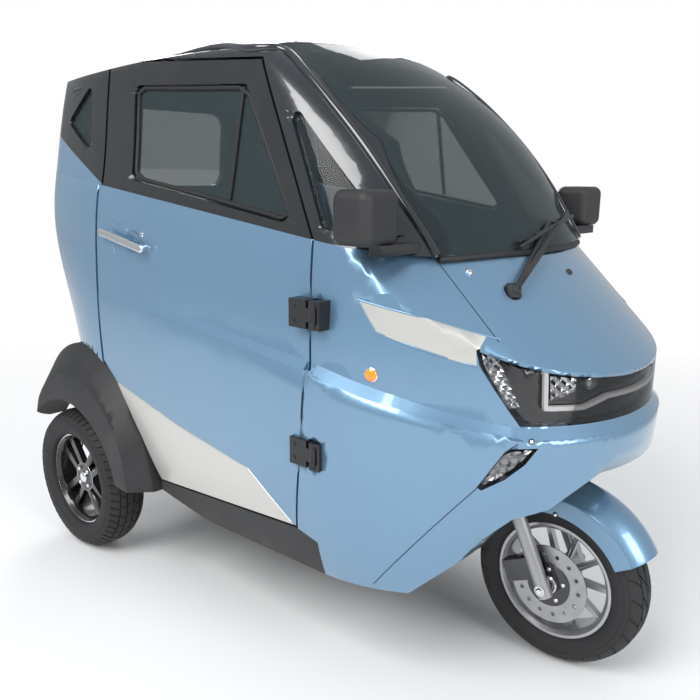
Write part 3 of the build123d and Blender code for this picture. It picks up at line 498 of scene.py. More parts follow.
def bead(name, points, radius, material, body, closed=False):
    """A round bead or rod along points."""
    curve = bpy.data.curves.new(name, "CURVE")
    curve.dimensions = "3D"
    line = curve.splines.new("POLY")
    line.points.add(len(points) - 1)
    for knot, point in zip(line.points, points):
        knot.co = (*point, 1)
    line.use_cyclic_u = closed
    curve.bevel_depth = radius
    curve.bevel_resolution = 3
    curve.use_fill_caps = True
    piece = bpy.data.objects.new(name, curve)
    bpy.context.scene.collection.objects.link(piece)
    select_only(piece)
    bpy.ops.object.convert(target="MESH")
    piece = bpy.context.object
    piece.data.materials.clear()
    piece.data.materials.append(material)
    bpy.ops.object.shade_smooth_by_angle(angle=math.radians(50))
    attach(piece, body)
    return piece


def turned(name, profile, centre, axis, steps, material, body, sharp=30):
    """A piece turned on a lathe: profile gives places along the axis and radii."""
    axis = Vector(axis).normalized()
    out = axis.orthogonal().normalized()
    up = axis.cross(out)
    points = []
    faces = []
    for k in range(steps):
        angle = 2 * math.pi * k / steps
        arm = out * math.cos(angle) + up * math.sin(angle)
        points += [Vector(centre) + axis * at + arm * radius for at, radius in profile]
    count = len(profile)
    for k in range(steps):
        a = k * count
        b = (k + 1) % steps * count
        faces += [(a + i, a + i + 1, b + i + 1, b + i) for i in range(count - 1)]
    return piece_of(name, points, faces, material, body, sharp=sharp)


BUTTON = ((0, 0), (0, 1.0), (0.55, 1.0), (0.85, 0.85), (1, 0.6), (1, 0))


def button(name, centre, axis, radius, height, material, body, steps=24):
    """A round head with a softened rim, such as a screw, cap or small lamp."""
    profile = [(a * height, r * radius) for a, r in BUTTON]
    return turned(name, profile, centre, axis, steps, material, body, sharp=40)


def faceted(name, rail_a, rail_b, columns, dent, material, body, wall=0.0015):
    """A reflector of small pyramids between two rails of as many points."""
    points = []
    faces = []
    rows = len(rail_a)
    for a, b in zip(rail_a, rail_b):
        points += [a.lerp(b, k / columns) for k in range(columns + 1)]
    for r in range(rows - 1):
        for c in range(columns):
            corner = [r * (columns + 1) + c, r * (columns + 1) + c + 1, (r + 1) * (columns + 1) + c + 1,
                      (r + 1) * (columns + 1) + c]
            place = [points[i] for i in corner]
            normal = (place[2] - place[0]).cross(place[3] - place[1]).normalized()
            middle = sum(place, Vector()) / 4 + normal * dent * (1 if (r + c) % 2 else -0.6)
            points.append(middle)
            faces += [(corner[k], corner[(k + 1) % 4], len(points) - 1) for k in range(4)]
    return piece_of(name, points, faces, material, body, sharp=5, wall=wall)


# The crease: the lower body stands proud of the upper, and a sloping shoulder joins them along the
# doors, round the front quarters and over the bumper.
CREASE = ((-0.600, 0.972), (-0.387, 0.955), (0.356, 0.881), (0.600, 0.828), (0.830, 0.765), (1.100, 0.757))
SHOULDER_DROP = 0.021
SHOULDER_MARGIN = 0.0015


def crease_z(x):
    for (x0, z0), (x1, z1) in zip(CREASE, CREASE[1:]):
        if x <= x1:
            return z0 + (z1 - z0) * (x - x0) / (x1 - x0)
    return CREASE[-1][1]


def shoulder(name, skin, lines, body):
    """The sloping strip over the ledge, where each line looks at the panel from outside."""
    points = []
    faces = []
    for start, direction in lines:
        x = start[0]
        for _ in range(4):
            z = crease_z(x)
            x = touch(skin, (start[0], start[1], z + SHOULDER_MARGIN), direction)[0].x
        top, _ = touch(skin, (start[0], start[1], z + SHOULDER_MARGIN), direction)
        low, _ = touch(skin, (start[0], start[1], z - SHOULDER_DROP - SHOULDER_MARGIN), direction)
        inside = Vector((top.x, top.y, low.z)) + Vector(direction).normalized() * 0.001
        top = top + Vector(direction).normalized() * 0.0004
        low = low - Vector(direction).normalized() * 0.0003
        points += [top, low, inside]
    for i in range(len(lines) - 1):
        for k in range(3):
            faces.append((3 * i + k, 3 * i + (k + 1) % 3, 3 * i + 3 + (k + 1) % 3, 3 * i + 3 + k))
    faces.append((0, 1, 2))
    faces.append((len(points) - 1, len(points) - 2, len(points) - 3))
    return piece_of(name, points, faces, blue_paint, body, sharp=24)


DOOR_FROM = -0.586
DOOR_TO = 0.345
NOSE_CENTRE = 0.366
NOSE_SWEEP = 178.0
for side, mark in (("right", -1), ("left", 1)):
    xs = [DOOR_FROM + (DOOR_TO - DOOR_FROM) * k / 40 for k in range(41)]
    lines = [((x, mark * OUTSIDE, 0), (0, -mark, 0)) for x in xs]
    shoulder("door_shoulder_" + side, skin_of(door_skins[side]), lines, "door_" + side)
nose_skin = skin_of(front_quarters, bumper, headlamp)
lines = []
for k in range(121):
    turn = math.radians(NOSE_SWEEP * (k / 120 - 0.5))
    outward = (math.cos(turn), math.sin(turn), 0)
    start = (NOSE_CENTRE + OUTSIDE * outward[0], OUTSIDE * outward[1], 0)
    lines.append((start, (-outward[0], -outward[1], 0)))
shoulder("nose_shoulder", nose_skin, lines, "body")

# Seams between the fixed panels, where the real ones meet with a narrow dark gap.
seam_dark = finish("seam_dark", (0.008, 0.009, 0.010), 0.7)
SEAM_RADIUS = 0.0011
front_skin = skin_of(front_quarters, bumper, bonnet, garnish)
BONNET_SEAM_Y = 0.3705
bonnet_seam = [touch(front_skin, (x, -BONNET_SEAM_Y, OUTSIDE), (0, 0, -1))[0] for x in
               [0.600 + 0.168 * k / 16 for k in range(17)]]
piece = bead("bonnet_seam_right", bonnet_seam, SEAM_RADIUS, seam_dark, "body")
mirrored(piece, "bonnet_seam_left", "body")
BUMPER_SEAM = ((0.832, 0, 0.736), (0.812, 0, 0.718), (0.761, 0, 0.624), (0.520, 0, 0.318))
bumper_seam = [from_side(front_skin, p.x, p.z)[0] for p in spread(BUMPER_SEAM, 0.02)]
piece = bead("bumper_seam_right", bumper_seam, SEAM_RADIUS, seam_dark, "body")
mirrored(piece, "bumper_seam_left", "body")

# A raised lip in body colour runs round each silver strip beside the bonnet.
STRIP_EDGE = ((0.482, 0, 1.049), (0.645, 0, 1.017), (0.715, 0, 0.990), (0.768, 0, 0.969))
STRIP_LOW = ((0.482, 0, 1.049), (0.533, 0, 0.977), (0.744, 0, 0.912))
for number, edge in enumerate((STRIP_EDGE, STRIP_LOW)):
    line = [from_side(front_skin, p.x, p.z)[0] for p in spread(edge, 0.02)]
    piece = bead("strip_lip_right_%d" % number, line, 0.0024, blue_paint, "body")
    mirrored(piece, "strip_lip_left_%d" % number, "body")

# The upper edge of each silver door band is a bright turned lip.
BAND_EDGE = ((-0.515, 0, 0.6605), (-0.198, 0, 0.590), (0.124, 0, 0.539), (0.280, 0, 0.429))
door_skin = skin_of(door_skins["right"], door_bands["right"])
line = [from_side(door_skin, p.x, p.z)[0] for p in spread(BAND_EDGE, 0.03)]
piece = bead("band_lip_right", line, 0.0024, silver_paint, "door_right")
mirrored(piece, "band_lip_left", "door_left")

# The headlamp: one long clear cover round the nose over a black housing, with a white light
# guide bent like a hockey stick on each side and faceted bright reflectors at the ends.
light_white = bpy.data.materials.new("light_white")
nodes, links = nodes_of(light_white)
shader = nodes.new("ShaderNodeBsdfPrincipled")
milk = nodes.new("ShaderNodeTexNoise")
milk.inputs["Scale"].default_value = 60
place = nodes.new("ShaderNodeTexCoord")
links.new(place.outputs["Object"], milk.inputs["Vector"])
tone = nodes.new("ShaderNodeMapRange")
tone.inputs["To Min"].default_value = 0.78
tone.inputs["To Max"].default_value = 0.92
links.new(milk.outputs["Fac"], tone.inputs["Value"])
links.new(tone.outputs[0], shader.inputs["Base Color"])
shader.inputs["Roughness"].default_value = 0.25
shader.inputs["Emission Color"].default_value = (1, 1, 1, 1)
shader.inputs["Emission Strength"].default_value = 0.18
links.new(shader.outputs[0], nodes.new("ShaderNodeOutputMaterial").inputs["Surface"])


def split_shell(shell, cover_name, cover_material, middle, inward, lean=0.35):
    """Takes the outer faces off a lamp's shell as a thin clear cover, and sets a bowl behind it."""
    cover = bpy.data.objects.new(cover_name, shell.data.copy())
    bowl = bpy.data.objects.new(cover_name + "_bowl", shell.data.copy())
    for piece, keep_outer in ((cover, True), (bowl, True), (shell, False)):
        work = bmesh.new()
        work.from_mesh(piece.data)
        gone = []
        for face in work.faces:
            centre = face.calc_center_median()
            away = Vector((centre.x - middle, centre.y, 0)).normalized()
            if (face.normal.dot(away) > lean) != keep_outer:
                gone.append(face)
        bmesh.ops.delete(work, geom=gone, context="FACES")
        if piece is bowl:
            for vertex in work.verts:
                vertex.normal_update()
            shifts = [vertex.co - vertex.normal * inward for vertex in work.verts]
            for vertex, place in zip(work.verts, shifts):
                vertex.co = place
        work.to_mesh(piece.data)
        work.free()
    for piece, material in ((cover, cover_material), (bowl, shell.data.materials[0])):
        bpy.context.scene.collection.objects.link(piece)
        piece.data.materials.clear()
        piece.data.materials.append(material)
        select_only(piece)
        thick = piece.modifiers.new("wall", "SOLIDIFY")
        thick.thickness = 0.0015
        thick.offset = -1
        bpy.ops.object.modifier_apply(modifier=thick.name)
        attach(piece, "body")
    return cover, bowl


lamp_skin = skin_of(headlamp)
lens_glass = clear_glass("lens_glass", (0.02, 0.022, 0.025), 0.05, 0.7)
split_shell(headlamp, "headlamp_cover", lens_glass, 0.45, 0.022)
GUIDE = ((-0.309, 0.905), (-0.306, 0.810), (-0.218, 0.805), (-0.146, 0.824), (0, 0.822),
         (0.146, 0.824), (0.218, 0.805), (0.306, 0.810), (0.309, 0.905))
guide_path = []
for p in spread([(0, y, z) for y, z in GUIDE], 0.008):
    hit, normal = from_front(lamp_skin, p.y, p.z)
    guide_path.append((hit - normal * 0.008, normal))
ribbon("light_guide", guide_path, 0.010, 0.004, light_white, "body", sunk=0.008)
END_OUTER = ((0.752, 0, 0.940), (0.758, 0, 0.912), (0.782, 0, 0.862), (0.806, 0, 0.812))
END_INNER = ((0.786, 0, 0.936), (0.792, 0, 0.905), (0.808, 0, 0.862), (0.826, 0, 0.815))


def set_back(skin, line, step, back):
    result = []
    for p in spread(line, step):
        hit, normal = from_side(skin, p.x, p.z)
        result.append(hit - normal * back)
    return result


def evened(line, count):
    """As many points as asked, evenly along a line."""
    lengths = [0]
    for a, b in zip(line, line[1:]):
        lengths.append(lengths[-1] + (b - a).length)
    result = []
    for k in range(count):
        goal = lengths[-1] * k / (count - 1)
        i = max(j for j in range(len(line) - 1) if lengths[j] <= goal + 1e-9)
        share = (goal - lengths[i]) / (lengths[i + 1] - lengths[i])
        result.append(line[i].lerp(line[i + 1], min(share, 1)))
    return result


outer = evened(set_back(lamp_skin, END_OUTER, 0.01, 0.008), 12)
inner = evened(set_back(lamp_skin, END_INNER, 0.01, 0.014), 12)
piece = faceted("turn_reflector_right", outer, inner, 4, 0.006, chrome, "body")
mirrored(piece, "turn_reflector_left", "body")
BEAM_TOP = ((-0.296, 0.885), (-0.262, 0.880), (-0.235, 0.874))
BEAM_LOW = ((-0.292, 0.826), (-0.262, 0.832), (-0.235, 0.846))
rails = []
for edge in (BEAM_TOP, BEAM_LOW):
    rail = []
    for p in spread([(0, y, z) for y, z in edge], 0.01):
        hit, normal = from_front(lamp_skin, p.y, p.z)
        rail.append(hit - normal * 0.016)
    rails.append(evened(rail, 6))
piece = faceted("beam_reflector_right", rails[0], rails[1], 4, 0.008, chrome, "body")
mirrored(piece, "beam_reflector_left", "body")
lens_at, lens_normal = from_front(lamp_skin, -0.195, 0.862)
for side, mark in (("right", 1), ("left", -1)):
    centre = lens_at - lens_normal * 0.020
    axis = Vector((lens_normal.x, lens_normal.y * mark, lens_normal.z))
    button("beam_lens_" + side, (centre.x, centre.y * mark, centre.z), axis, 0.017, 0.010, chrome, "body",
           steps=32)

# The low lamps are slim clear covers in the bumper's corners over two rows of bright cells.
low_skin = skin_of(low_lamps)
split_shell(low_lamps, "low_lamp_lens", lens_glass, 0.45, 0.016, lean=0.3)
LOW_UPPER = ((0.770, 0, 0.637), (0.791, 0, 0.676), (0.814, 0, 0.713), (0.846, 0, 0.719))
LOW_LOWER = ((0.774, 0, 0.630), (0.806, 0, 0.652), (0.838, 0, 0.687), (0.856, 0, 0.716))
outer = evened(set_back(low_skin, LOW_UPPER, 0.008, 0.005), 9)
inner = evened(set_back(low_skin, LOW_LOWER, 0.008, 0.007), 9)
piece = faceted("low_reflector_right", outer, inner, 3, 0.004, chrome, "body")
mirrored(piece, "low_reflector_left", "body")

# A round amber marker lamp sits in a thin bright ring on each front quarter.
amber = finish("amber_lens", (0.95, 0.28, 0.01), 0.15, spread=0.1, patch=60, grain=300, bump=0.25, coat=1.0)
MARKER_PIXEL = (371, 375)
marker_at, marker_normal = touch(front_skin, CAMERA_AT, sight(*MARKER_PIXEL))
for side, mark in (("right", 1), ("left", -1)):
    centre = Vector((marker_at.x, marker_at.y * mark, marker_at.z))
    axis = Vector((marker_normal.x, marker_normal.y * mark, marker_normal.z))
    button("marker_ring_" + side, centre - axis * 0.002, axis, 0.0175, 0.005, chrome, "body",
           steps=32)
    button("marker_lens_" + side, centre, axis, 0.0150, 0.008, amber, "body", steps=32)

# A tall red tail lamp in a black frame stands proud on each side of the tail, at a guessed place.
red_lens = finish("red_lens", (0.55, 0.01, 0.012), 0.15, spread=0.1, patch=40, grain=400, bump=0.2, coat=1.0)
rear_skin = skin_of(rear_quarters, tail_panel)
TAIL_LAMP_Y = -0.425
TAIL_LAMP_FOOT = 0.840
TAIL_LAMP_HEIGHT = 0.150
lamp_path = []
for k in range(13):
    height = TAIL_LAMP_FOOT + TAIL_LAMP_HEIGHT * k / 12
    hit, normal = touch(rear_skin, (-OUTSIDE, TAIL_LAMP_Y, height), (1, 0.12, 0))
    lamp_path.append((hit, normal))
piece = ribbon("tail_lamp_right", lamp_path, 0.062, 0.008, red_lens, "body", sunk=0.004)
mirrored(piece, "tail_lamp_left", "body")
piece = ribbon("tail_lamp_frame_right", lamp_path, 0.070, 0.004, lamp_black, "body", sunk=0.004)
mirrored(piece, "tail_lamp_frame_left", "body")

# Screws with bright heads hold the bumper and the fender, at guessed places.
BUMPER_SCREW_YZ = (-0.349, 0.742)
FENDER_SCREW_XZ = (0.80, 0.45)
for name, start, look, skin, body in (
    ("bumper_screw", (OUTSIDE, *BUMPER_SCREW_YZ), (-1, 0, 0), front_skin, "body"),
    ("fender_screw", (FENDER_SCREW_XZ[0], -OUTSIDE, FENDER_SCREW_XZ[1]), (0, 1, 0), skin_of(front_fender),
     "steering"),
):
    place_at, normal = touch(skin, start, look)
    for side, mark in (("right", 1), ("left", -1)):
        centre = Vector((place_at.x, place_at.y * mark, place_at.z))
        axis = Vector((normal.x, normal.y * mark, normal.z))
        button(name + "_seat_" + side, centre, axis, 0.0075, 0.0012, lamp_black, body)
        button(name + "_" + side, centre, axis, 0.0048, 0.0030, chrome, body)

# The roof rail is a smooth glossy moulding from the rear window down to the foot of the pillar. It
# runs straight over the door's rear half, where it overlaps the door's frame.
cabin_skin = skin_of(cabin_frames, rear_frames, roof, windscreen, side_panes, door_frames["right"],
                     door_panes["right"])
RAIL_PIXELS = ((76, 92), (200, 51), (250, 48), (284, 50), (306, 72), (330, 101), (356, 134), (380, 168),
               (404, 204), (424, 234), (437, 256))
rail_line = [touch(cabin_skin, CAMERA_AT, sight(*pixel))[0] for pixel in RAIL_PIXELS]
curve_line = []
for k in range(len(rail_line) - 1):
    a, b = rail_line[k], rail_line[k + 1]
    before = rail_line[max(k - 1, 0)]
    after = rail_line[min(k + 2, len(rail_line) - 1)]
    for s in range(6):
        t = s / 6
        curve_line.append(0.5 * ((2 * a) + (b - before) * t + (2 * before - 5 * a + 4 * b - after) * t * t
                                 + (3 * a - before - 3 * b + after) * t * t * t))
curve_line.append(rail_line[-1])
piece = bead("roof_rail_right", curve_line, 0.011, roof_black, "body")
mirrored(piece, "roof_rail_left", "body")

# A black rubber gasket seals the foot of the screen against the bonnet.
rubber_trim = finish("rubber_trim", (0.014, 0.014, 0.015), 0.6, spread=0.2, grain=1200, bump=0.2)
GASKET_HALF = 0.372
gasket = []
for k in range(41):
    y = -GASKET_HALF + 2 * GASKET_HALF * k / 40
    x = 0.692 - 0.094 * (y / GASKET_HALF) ** 2
    z = 1.132 - 0.959 * (x - 0.700) - 0.70 * y * y
    gasket.append(Vector((x, y, z + 0.004)))
bead("screen_gasket", gasket, 0.0085, rubber_trim, "body")

# Each door window has a rubber channel round it and a stile between its two panes.
def side_ring(name, corners, inset, radius, skin, material, body, lift=0.0):
    """A bead round a window, inside its corners by an inset, on the panel's outer face."""
    centre = sum((Vector(c) for c in corners), Vector((0, 0))) / len(corners)
    loop = []
    for corner, following in zip(corners, corners[1:] + corners[:1]):
        corner, following = Vector(corner), Vector(following)
        for share in (0.06, 0.5, 0.94):
            point = corner.lerp(following, share)
            loop.append(point + (centre - point).normalized() * inset)
    line = []
    for point in loop:
        hit, normal = from_side(skin, point.x, point.y)
        line.append(hit + normal * lift)
    return bead(name, line, radius, material, body, closed=True)


pane_skin = skin_of(door_panes["right"])
stile_path = []
for k in range(13):
    hit, normal = from_side(pane_skin, 0.010, 1.262 + (1.555 - 1.262) * k / 12)
    stile_path.append((hit, normal))
piece = ribbon("window_stile_right", stile_path, 0.012, 0.004, frame_black, "door_right")
mirrored(piece, "window_stile_left", "door_left")
inner_edge = [(-0.452, 1.582), (0.024, 1.556), (0.260, 1.214), (-0.434, 1.315)]
piece = side_ring("window_channel_right", inner_edge, 0.004, 0.0065, pane_skin, rubber_trim, "door_right")
mirrored(piece, "window_channel_left", "door_left")

# The mirrors carry silvered glass in their rear faces.
mirror_glass = finish("mirror_glass", (0.85, 0.87, 0.88), 0.03, metal=1.0, spread=0.02, grain=300, bump=0.0)
MIRROR_Y = 0.545
MIRROR_HEIGHT = 1.238
MIRROR_GLASS = (0.003, 0.092, 0.092)
low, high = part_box("mirrors")
for side, mark in (("right", -1), ("left", 1)):
    bpy.ops.object.select_all(action="DESELECT")
    glass_at = (low.x + 0.001, mark * MIRROR_Y, MIRROR_HEIGHT)
    bpy.ops.mesh.primitive_cube_add(size=1, location=glass_at, scale=MIRROR_GLASS)
    piece = bpy.context.object
    piece.name = "mirror_glass_" + side
    bpy.ops.object.transform_apply(location=True, rotation=True, scale=True)
    soft = piece.modifiers.new("soft_corners", "BEVEL")
    soft.width = 0.0012
    soft.segments = 2
    bpy.ops.object.modifier_apply(modifier=soft.name)
    piece.data.materials.append(mirror_glass)
    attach(piece, "body")

# The wiper: a round cap over the pivot in a shallow dish, a flat arm and a rubber blade in a bow.
bonnet_skin = skin_of(bonnet)
screen_skin = skin_of(windscreen)
WIPER_PIVOT_PIXEL = (513, 292)
pivot, pivot_normal = touch(bonnet_skin, CAMERA_AT, sight(*WIPER_PIVOT_PIXEL))
button("wiper_dish", pivot - pivot_normal * 0.0005, pivot_normal, 0.024, 0.0015, lamp_black, "body",
       32)
button("wiper_cap", pivot, pivot_normal, 0.015, 0.022, black_plastic, "body", 32)
tip, tip_normal = from_front(screen_skin, 0.088, 1.195)
knuckle = pivot + pivot_normal * 0.020
arm = [(knuckle.lerp(tip + tip_normal * 0.022, t / 10) + pivot_normal * 0.010 * math.sin(math.pi * t / 10),
        pivot_normal) for t in range(11)]
ribbon("wiper_arm_lower", arm[:6], 0.015, 0.006, black_plastic, "body", sunk=0.004)
ribbon("wiper_arm_upper", arm[5:], 0.008, 0.004, black_plastic, "body", sunk=0.003)
blade_path = []
for p in spread([(0, -0.140, 1.165), (0, 0.310, 1.225)], 0.02):
    blade_path.append(from_front(screen_skin, p.y, p.z))
ribbon("wiper_blade", blade_path, 0.005, 0.014, rubber_trim, "body", sunk=-0.001)
ribbon("wiper_bow", [(p + n * 0.013, n) for p, n in blade_path[4:-4]], 0.009, 0.007, black_plastic, "body",
       sunk=0.0)
WASHER_RIGHT_PIXEL = (469, 272)
WASHER_LEFT_PIXEL = (569, 272)
for name, pixel, material, slot in (
    ("washer_right", WASHER_RIGHT_PIXEL, chrome, "chrome_trim"),
    ("washer_left", WASHER_LEFT_PIXEL, black_plastic, "black_plastic"),
):
    hit, normal = touch(bonnet_skin, CAMERA_AT, sight(*pixel))
    button(name, hit, normal, 0.009, 0.006, material, "body")

# The wiper motor's spindle and linkage stay under the bonnet, and the arm and blade show outside.
dressed("wiper", "wiper_arm", black_plastic)

# The tyres are black rubber.
rubber = finish("tyre_rubber", (0.018, 0.018, 0.019), 0.7, spread=0.25, rough_spread=0.1,
                patch=12, grain=700, bump=0.3)
tyre_cases = {node: dressed(node, node + "_case", rubber)
              for node in ("front_tyre", "rear_tyre_left", "rear_tyre_right")}

# The tread is of separate blocks over a case cut down by the depth of the grooves: long slanted
# blocks on the front tyre, and three ribs between short shoulder blocks on the rear tyres.
GROOVE = 0.005


def tread(name, case, centre, radius, half, bands, body):
    """Blocks in bands across the crown; each band is its edges as shares of the half width, then
    the count round the wheel, the slant in degrees and the share of the pitch that is groove."""
    edge = half - 0.005
    centre = Vector(centre)
    for vertex in case.data.vertices:
        arm = Vector((vertex.co.x - centre.x, 0, vertex.co.z - centre.z))
        if arm.length > radius - 0.030:
            vertex.co -= arm.normalized() * GROOVE
    points = []
    faces = []

    def place(share, angle, sunk):
        far = abs(share)
        drop = 0.0165 * (far - 1 / 3) if far < 2 / 3 else 0.0055 + 0.0495 * (far - 2 / 3)
        r = radius - max(drop, 0) - 0.0006 - sunk
        return centre + Vector((r * math.sin(angle), share * edge, r * math.cos(angle)))

    for low, high, count, slant, gap in bands:
        pitch = 2 * math.pi / count
        for k in range(count):
            start = len(points)
            for row in range(4):
                share = low + (high - low) * row / 3
                shift = math.radians(slant) * row / 3
                for column in range(4):
                    angle = k * pitch + shift + pitch * (1 - gap) * column / 3
                    points.append(place(share, angle, 0.0))
                    points.append(place(share, angle, GROOVE + 0.001))
            at = lambda row, column, low_side: start + 2 * (4 * row + column) + low_side
            for row in range(3):
                for column in range(3):
                    faces.append((at(row, column, 0), at(row, column + 1, 0), at(row + 1, column + 1, 0),
                                  at(row + 1, column, 0)))
                    faces.append((at(row, column, 1), at(row + 1, column, 1), at(row + 1, column + 1, 1),
                                  at(row, column + 1, 1)))
            for i in range(3):
                faces.append((at(0, i, 0), at(0, i, 1), at(0, i + 1, 1), at(0, i + 1, 0)))
                faces.append((at(3, i + 1, 0), at(3, i + 1, 1), at(3, i, 1), at(3, i, 0)))
                faces.append((at(i + 1, 0, 0), at(i + 1, 0, 1), at(i, 0, 1), at(i, 0, 0)))
                faces.append((at(i, 3, 0), at(i, 3, 1), at(i + 1, 3, 1), at(i + 1, 3, 0)))
    return piece_of(name, points, faces, rubber, body, sharp=35)


FRONT_WHEEL = (0.795, 0, 0.243)
REAR_WHEELS = {"left": (-0.795, 0.5175, 0.254), "right": (-0.795, -0.5175, 0.254)}
FRONT_RADIUS = 0.243
FRONT_HALF = 0.065
REAR_RADIUS = 0.254
REAR_HALF = 0.0725
FRONT_BANDS = ((-0.98, -0.50, 26, 7, 0.16), (-0.44, -0.04, 26, 9, 0.14), (0.04, 0.44, 26, -9, 0.14),
               (0.50, 0.98, 26, -7, 0.16))
REAR_BANDS = ((-0.98, -0.60, 54, 2, 0.20), (-0.54, -0.22, 40, 3, 0.10), (-0.17, 0.17, 40, -2, 0.08),
              (0.22, 0.54, 40, 3, 0.10), (0.60, 0.98, 54, -2, 0.20))
tread("tread_front", tyre_cases["front_tyre"], FRONT_WHEEL, FRONT_RADIUS, FRONT_HALF, FRONT_BANDS,
      "front_wheel")
for side, centre in REAR_WHEELS.items():
    tread("tread_rear_" + side, tyre_cases["rear_tyre_" + side], centre, REAR_RADIUS, REAR_HALF, REAR_BANDS,
          "rear_wheel_" + side)

# Rings moulded in the sidewalls mark the beads.
for name, centre, ring, body in (
    ("front", FRONT_WHEEL, 0.205, "front_wheel"),
    ("rear_left", REAR_WHEELS["left"], 0.213, "rear_wheel_left"),
    ("rear_right", REAR_WHEELS["right"], 0.213, "rear_wheel_right"),
):
    tyre_node = "front_tyre" if name == "front" else name.replace("rear_", "rear_tyre_")
    case_skin = skin_of(tyre_cases[tyre_node])
    for number, mark in enumerate((-1, 1)):
        line = []
        for k in range(64):
            angle = 2 * math.pi * k / 64
            x = centre[0] + ring * math.cos(angle)
            z = centre[2] + ring * math.sin(angle)
            line.append(touch(case_skin, (x, centre[1] + mark * 0.3, z), (0, -mark, 0))[0])
        bead("sidewall_ring_%s_%d" % (name, number), line, 0.0012, rubber, body, closed=True)

# The rear rims are black with a bright turned lip, four nuts and a bright cap.
bright_alloy = finish("bright_alloy", (0.72, 0.72, 0.73), 0.2, metal=1.0, spread=0.04,
                      patch=20, grain=1800, bump=0.04)
RIM_FACE = 0.5655
HUB_FACE = 0.5435
for side, mark in (("left", 1), ("right", -1)):
    body = "rear_wheel_" + side
    centre = Vector((REAR_WHEELS[side][0], mark * RIM_FACE, REAR_WHEELS[side][2]))
    reach = max(math.hypot(v.co.x - centre.x, v.co.z - centre.z) for v in rear_rims[side].data.vertices
                if abs(abs(v.co.y) - RIM_FACE) < 0.0008)
    lip = [(-0.0025, reach - 0.0002), (0.0008, reach - 0.0010), (0.0012, reach - 0.0035),
           (0.0004, reach - 0.0060), (-0.0025, reach - 0.0065)]
    turned("rim_lip_" + side, lip, centre, (0, mark, 0), 96, bright_alloy, body)
    hub = Vector((centre.x, mark * HUB_FACE, centre.z))
    button("hub_cap_" + side, hub, (0, mark, 0), 0.021, 0.012, chrome, body, steps=40)
    for number in range(4):
        angle = math.radians(45 + 90 * number)
        place_at = hub + Vector((math.cos(angle), 0, math.sin(angle))) * 0.037
        button("wheel_nut_%s_%d" % (side, number), place_at, (0, mark, 0), 0.0085, 0.009, chrome, body,
               steps=6)
    edge_line = [hub + Vector((math.cos(t), 0, math.sin(t))) * 0.0515 for t in
                 [2 * math.pi * k / 72 for k in range(72)]]
    bead("hub_edge_" + side, edge_line, 0.0010, bright_alloy, body, closed=True)

# The front disc has a black carrier with bright bolts and rows of drilled holes, and the hub a
# turned bright ring. The carrier reaches into the caliper. The axle's nuts sit
# on the feet of the fork.
DISC_FACE = -0.0752
FOOT_FACE = 0.1275
disc_at = Vector((FRONT_WHEEL[0], DISC_FACE, FRONT_WHEEL[2]))
CARRIER = ((0, 0.024), (0.004, 0.024), (0.004, 0.060), (0.0035, 0.062), (0, 0.062))
HUB_RING = ((0.004, 0.014), (0.0085, 0.016), (0.0085, 0.023), (0.006, 0.026), (0.004, 0.026))
turned("disc_carrier", CARRIER, disc_at, (0, -1, 0), 72, lamp_black, "front_wheel")
turned("hub_ring", HUB_RING, disc_at, (0, -1, 0), 48, bright_alloy, "front_wheel")
for number in range(5):
    angle = math.radians(90 + 72 * number)
    place_at = disc_at + Vector((math.cos(angle) * 0.046, -0.004, math.sin(angle) * 0.046))
    button("disc_bolt_%d" % number, place_at, (0, -1, 0), 0.0060, 0.0045, chrome, "front_wheel",
           steps=18)
points = []
faces = []
for arc in range(12):
    for step in range(4):
        angle = math.radians(30 * arc + 6.5 * step)
        r = 0.074 + 0.0085 * step
        start = len(points)
        middle = disc_at + Vector((math.cos(angle) * r, 0, math.sin(angle) * r))
        for depth in (0.0002, -0.0004):
            for k in range(12):
                turn = 2 * math.pi * k / 12
                points.append(middle + Vector((math.cos(turn) * 0.0027, -depth, math.sin(turn) * 0.0027)))
        faces.append(tuple(start + k for k in range(12)))
        faces.append(tuple(start + 12 + k for k in range(12)))
        for k in range(12):
            following = (k + 1) % 12
            faces.append((start + k, start + following, start + 12 + following, start + 12 + k))
piece_of("disc_holes", points, faces, seam_dark, "front_wheel")
for side, mark in (("right", -1), ("left", 1)):
    foot = Vector((FRONT_WHEEL[0], mark * FOOT_FACE, FRONT_WHEEL[2]))
    button("axle_washer_" + side, foot, (0, mark, 0), 0.0150, 0.0025, bright_alloy, "steering",
           steps=32)
    button("axle_nut_" + side, foot, (0, mark, 0), 0.0105, 0.0095, chrome, "steering", steps=6)

# Each door's pull stands over an oval bowl with a raised rim, and has a bright lock beside it.
door_skin = skin_of(door_skins["right"])
BOWL_CENTRE = (-0.462, 1.128)
BOWL_HALF = (0.044, 0.052)
rim_line = []
for k in range(48):
    angle = 2 * math.pi * k / 48
    hit, normal = from_side(door_skin, BOWL_CENTRE[0] + BOWL_HALF[0] * math.cos(angle),
                            BOWL_CENTRE[1] + BOWL_HALF[1] * math.sin(angle))
    rim_line.append(hit)
piece = bead("handle_bowl_rim_right", rim_line, 0.0014, blue_paint, "door_right", closed=True)
mirrored(piece, "handle_bowl_rim_left", "door_left")
LOCK_CENTRE = (-0.350, 1.150)
hit, normal = from_side(door_skin, *LOCK_CENTRE)
for side, mark in (("right", 1), ("left", -1)):
    button("door_lock_" + side, (hit.x, hit.y * mark, hit.z), (0, -mark, 0), 0.0085, 0.003, chrome,
           "door_" + side, steps=28)
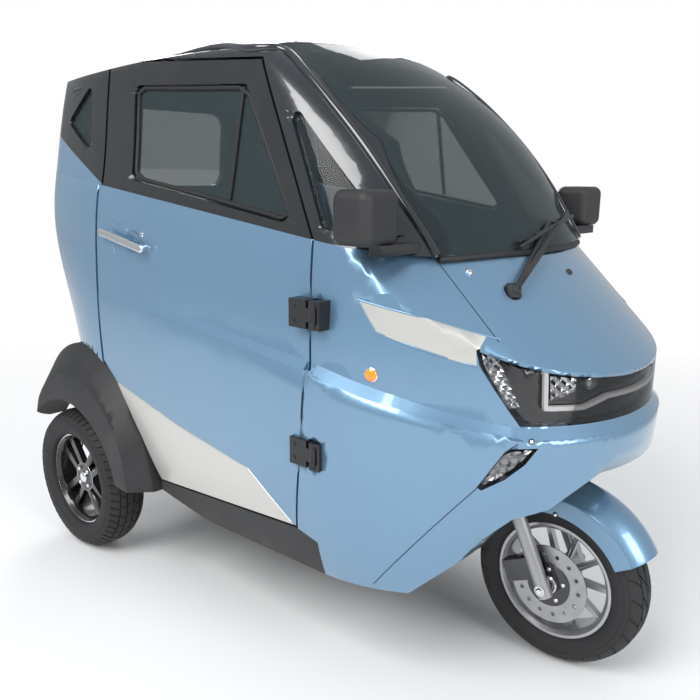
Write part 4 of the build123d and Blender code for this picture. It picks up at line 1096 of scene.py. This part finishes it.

# Screw heads show on the hinges, four a side on the body and four on each door. The body's four
# overlap the doors' knuckles.
SCREW_HEIGHTS = (0.632, 0.668, 0.986, 1.022)
for leaf, piece, on_door, x in (
    ("fixed", fixed_leaves, False, 0.392),
    ("moving", moving_leaves["right"], True, 0.322),
):
    leaf_skin = skin_of(piece)
    for number, z in enumerate(SCREW_HEIGHTS):
        hit, normal = from_side(leaf_skin, x, z)
        for side, mark in (("right", 1), ("left", -1)):
            body = "door_" + side if on_door else "body"
            button("hinge_screw_%s_%s_%d" % (leaf, side, number), (hit.x, hit.y * mark, hit.z), (0, -mark, 0),
                   0.0062, 0.0022, hinge_black, body, steps=18)

# The handlebar has ribbed rubber grips and two levers.
bar = handlebar.data.vertices
for side, mark in (("right", -1), ("left", 1)):
    tips = [v.co for v in bar if v.co.y * mark > 0.262]
    middle = sum(tips, Vector()) / len(tips)
    inner = [v.co for v in bar if 0.13 < v.co.y * mark < 0.20]
    root = sum(inner, Vector()) / len(inner) if inner else middle - Vector((0, mark * 0.11, 0))
    axis = (middle - root).normalized()
    profile = [(-0.112, 0.0), (-0.112, 0.0200), (-0.108, 0.0200)]
    for k in range(20):
        profile += [(-0.106 + 0.005 * k, 0.0160), (-0.1035 + 0.005 * k, 0.0172)]
    profile += [(-0.004, 0.0172), (-0.002, 0.0150), (-0.002, 0.0)]
    turned("grip_" + side, profile, middle, axis, 28, rubber_trim, "steering")
    lever = []
    for k in range(9):
        share = k / 8
        reach = 0.030 + 0.030 * math.sin(math.pi * share)
        lever.append(middle + Vector((reach, -mark * (0.02 + 0.125 * share), -0.005 + 0.004 * share)))
    bead("lever_" + side, lever, 0.0045, alloy, "steering")

# The seats are plain pads in black leathercloth, with piping round the top of each cushion.
leather = finish("leathercloth", (0.03, 0.03, 0.032), 0.5, spread=0.2, patch=8, grain=900, bump=0.3)
PIPING_INSET = 0.030
for node in ("driver_cushion", "driver_backrest", "bench_cushion", "bench_backrest"):
    dressed(node, node + "_pad", leather, sharp=60)
    low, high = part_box(node)
    if node.endswith("cushion"):
        x0, x1 = low.x + PIPING_INSET, high.x - PIPING_INSET
        y0, y1 = low.y + PIPING_INSET, high.y - PIPING_INSET
        line = [Vector((x, y, high.z - 0.0035)) for x, y in ((x0, y0), (x1, y0), (x1, y1), (x0, y1))]
        bead(node + "_piping", line, 0.0030, leather, "body", closed=True)
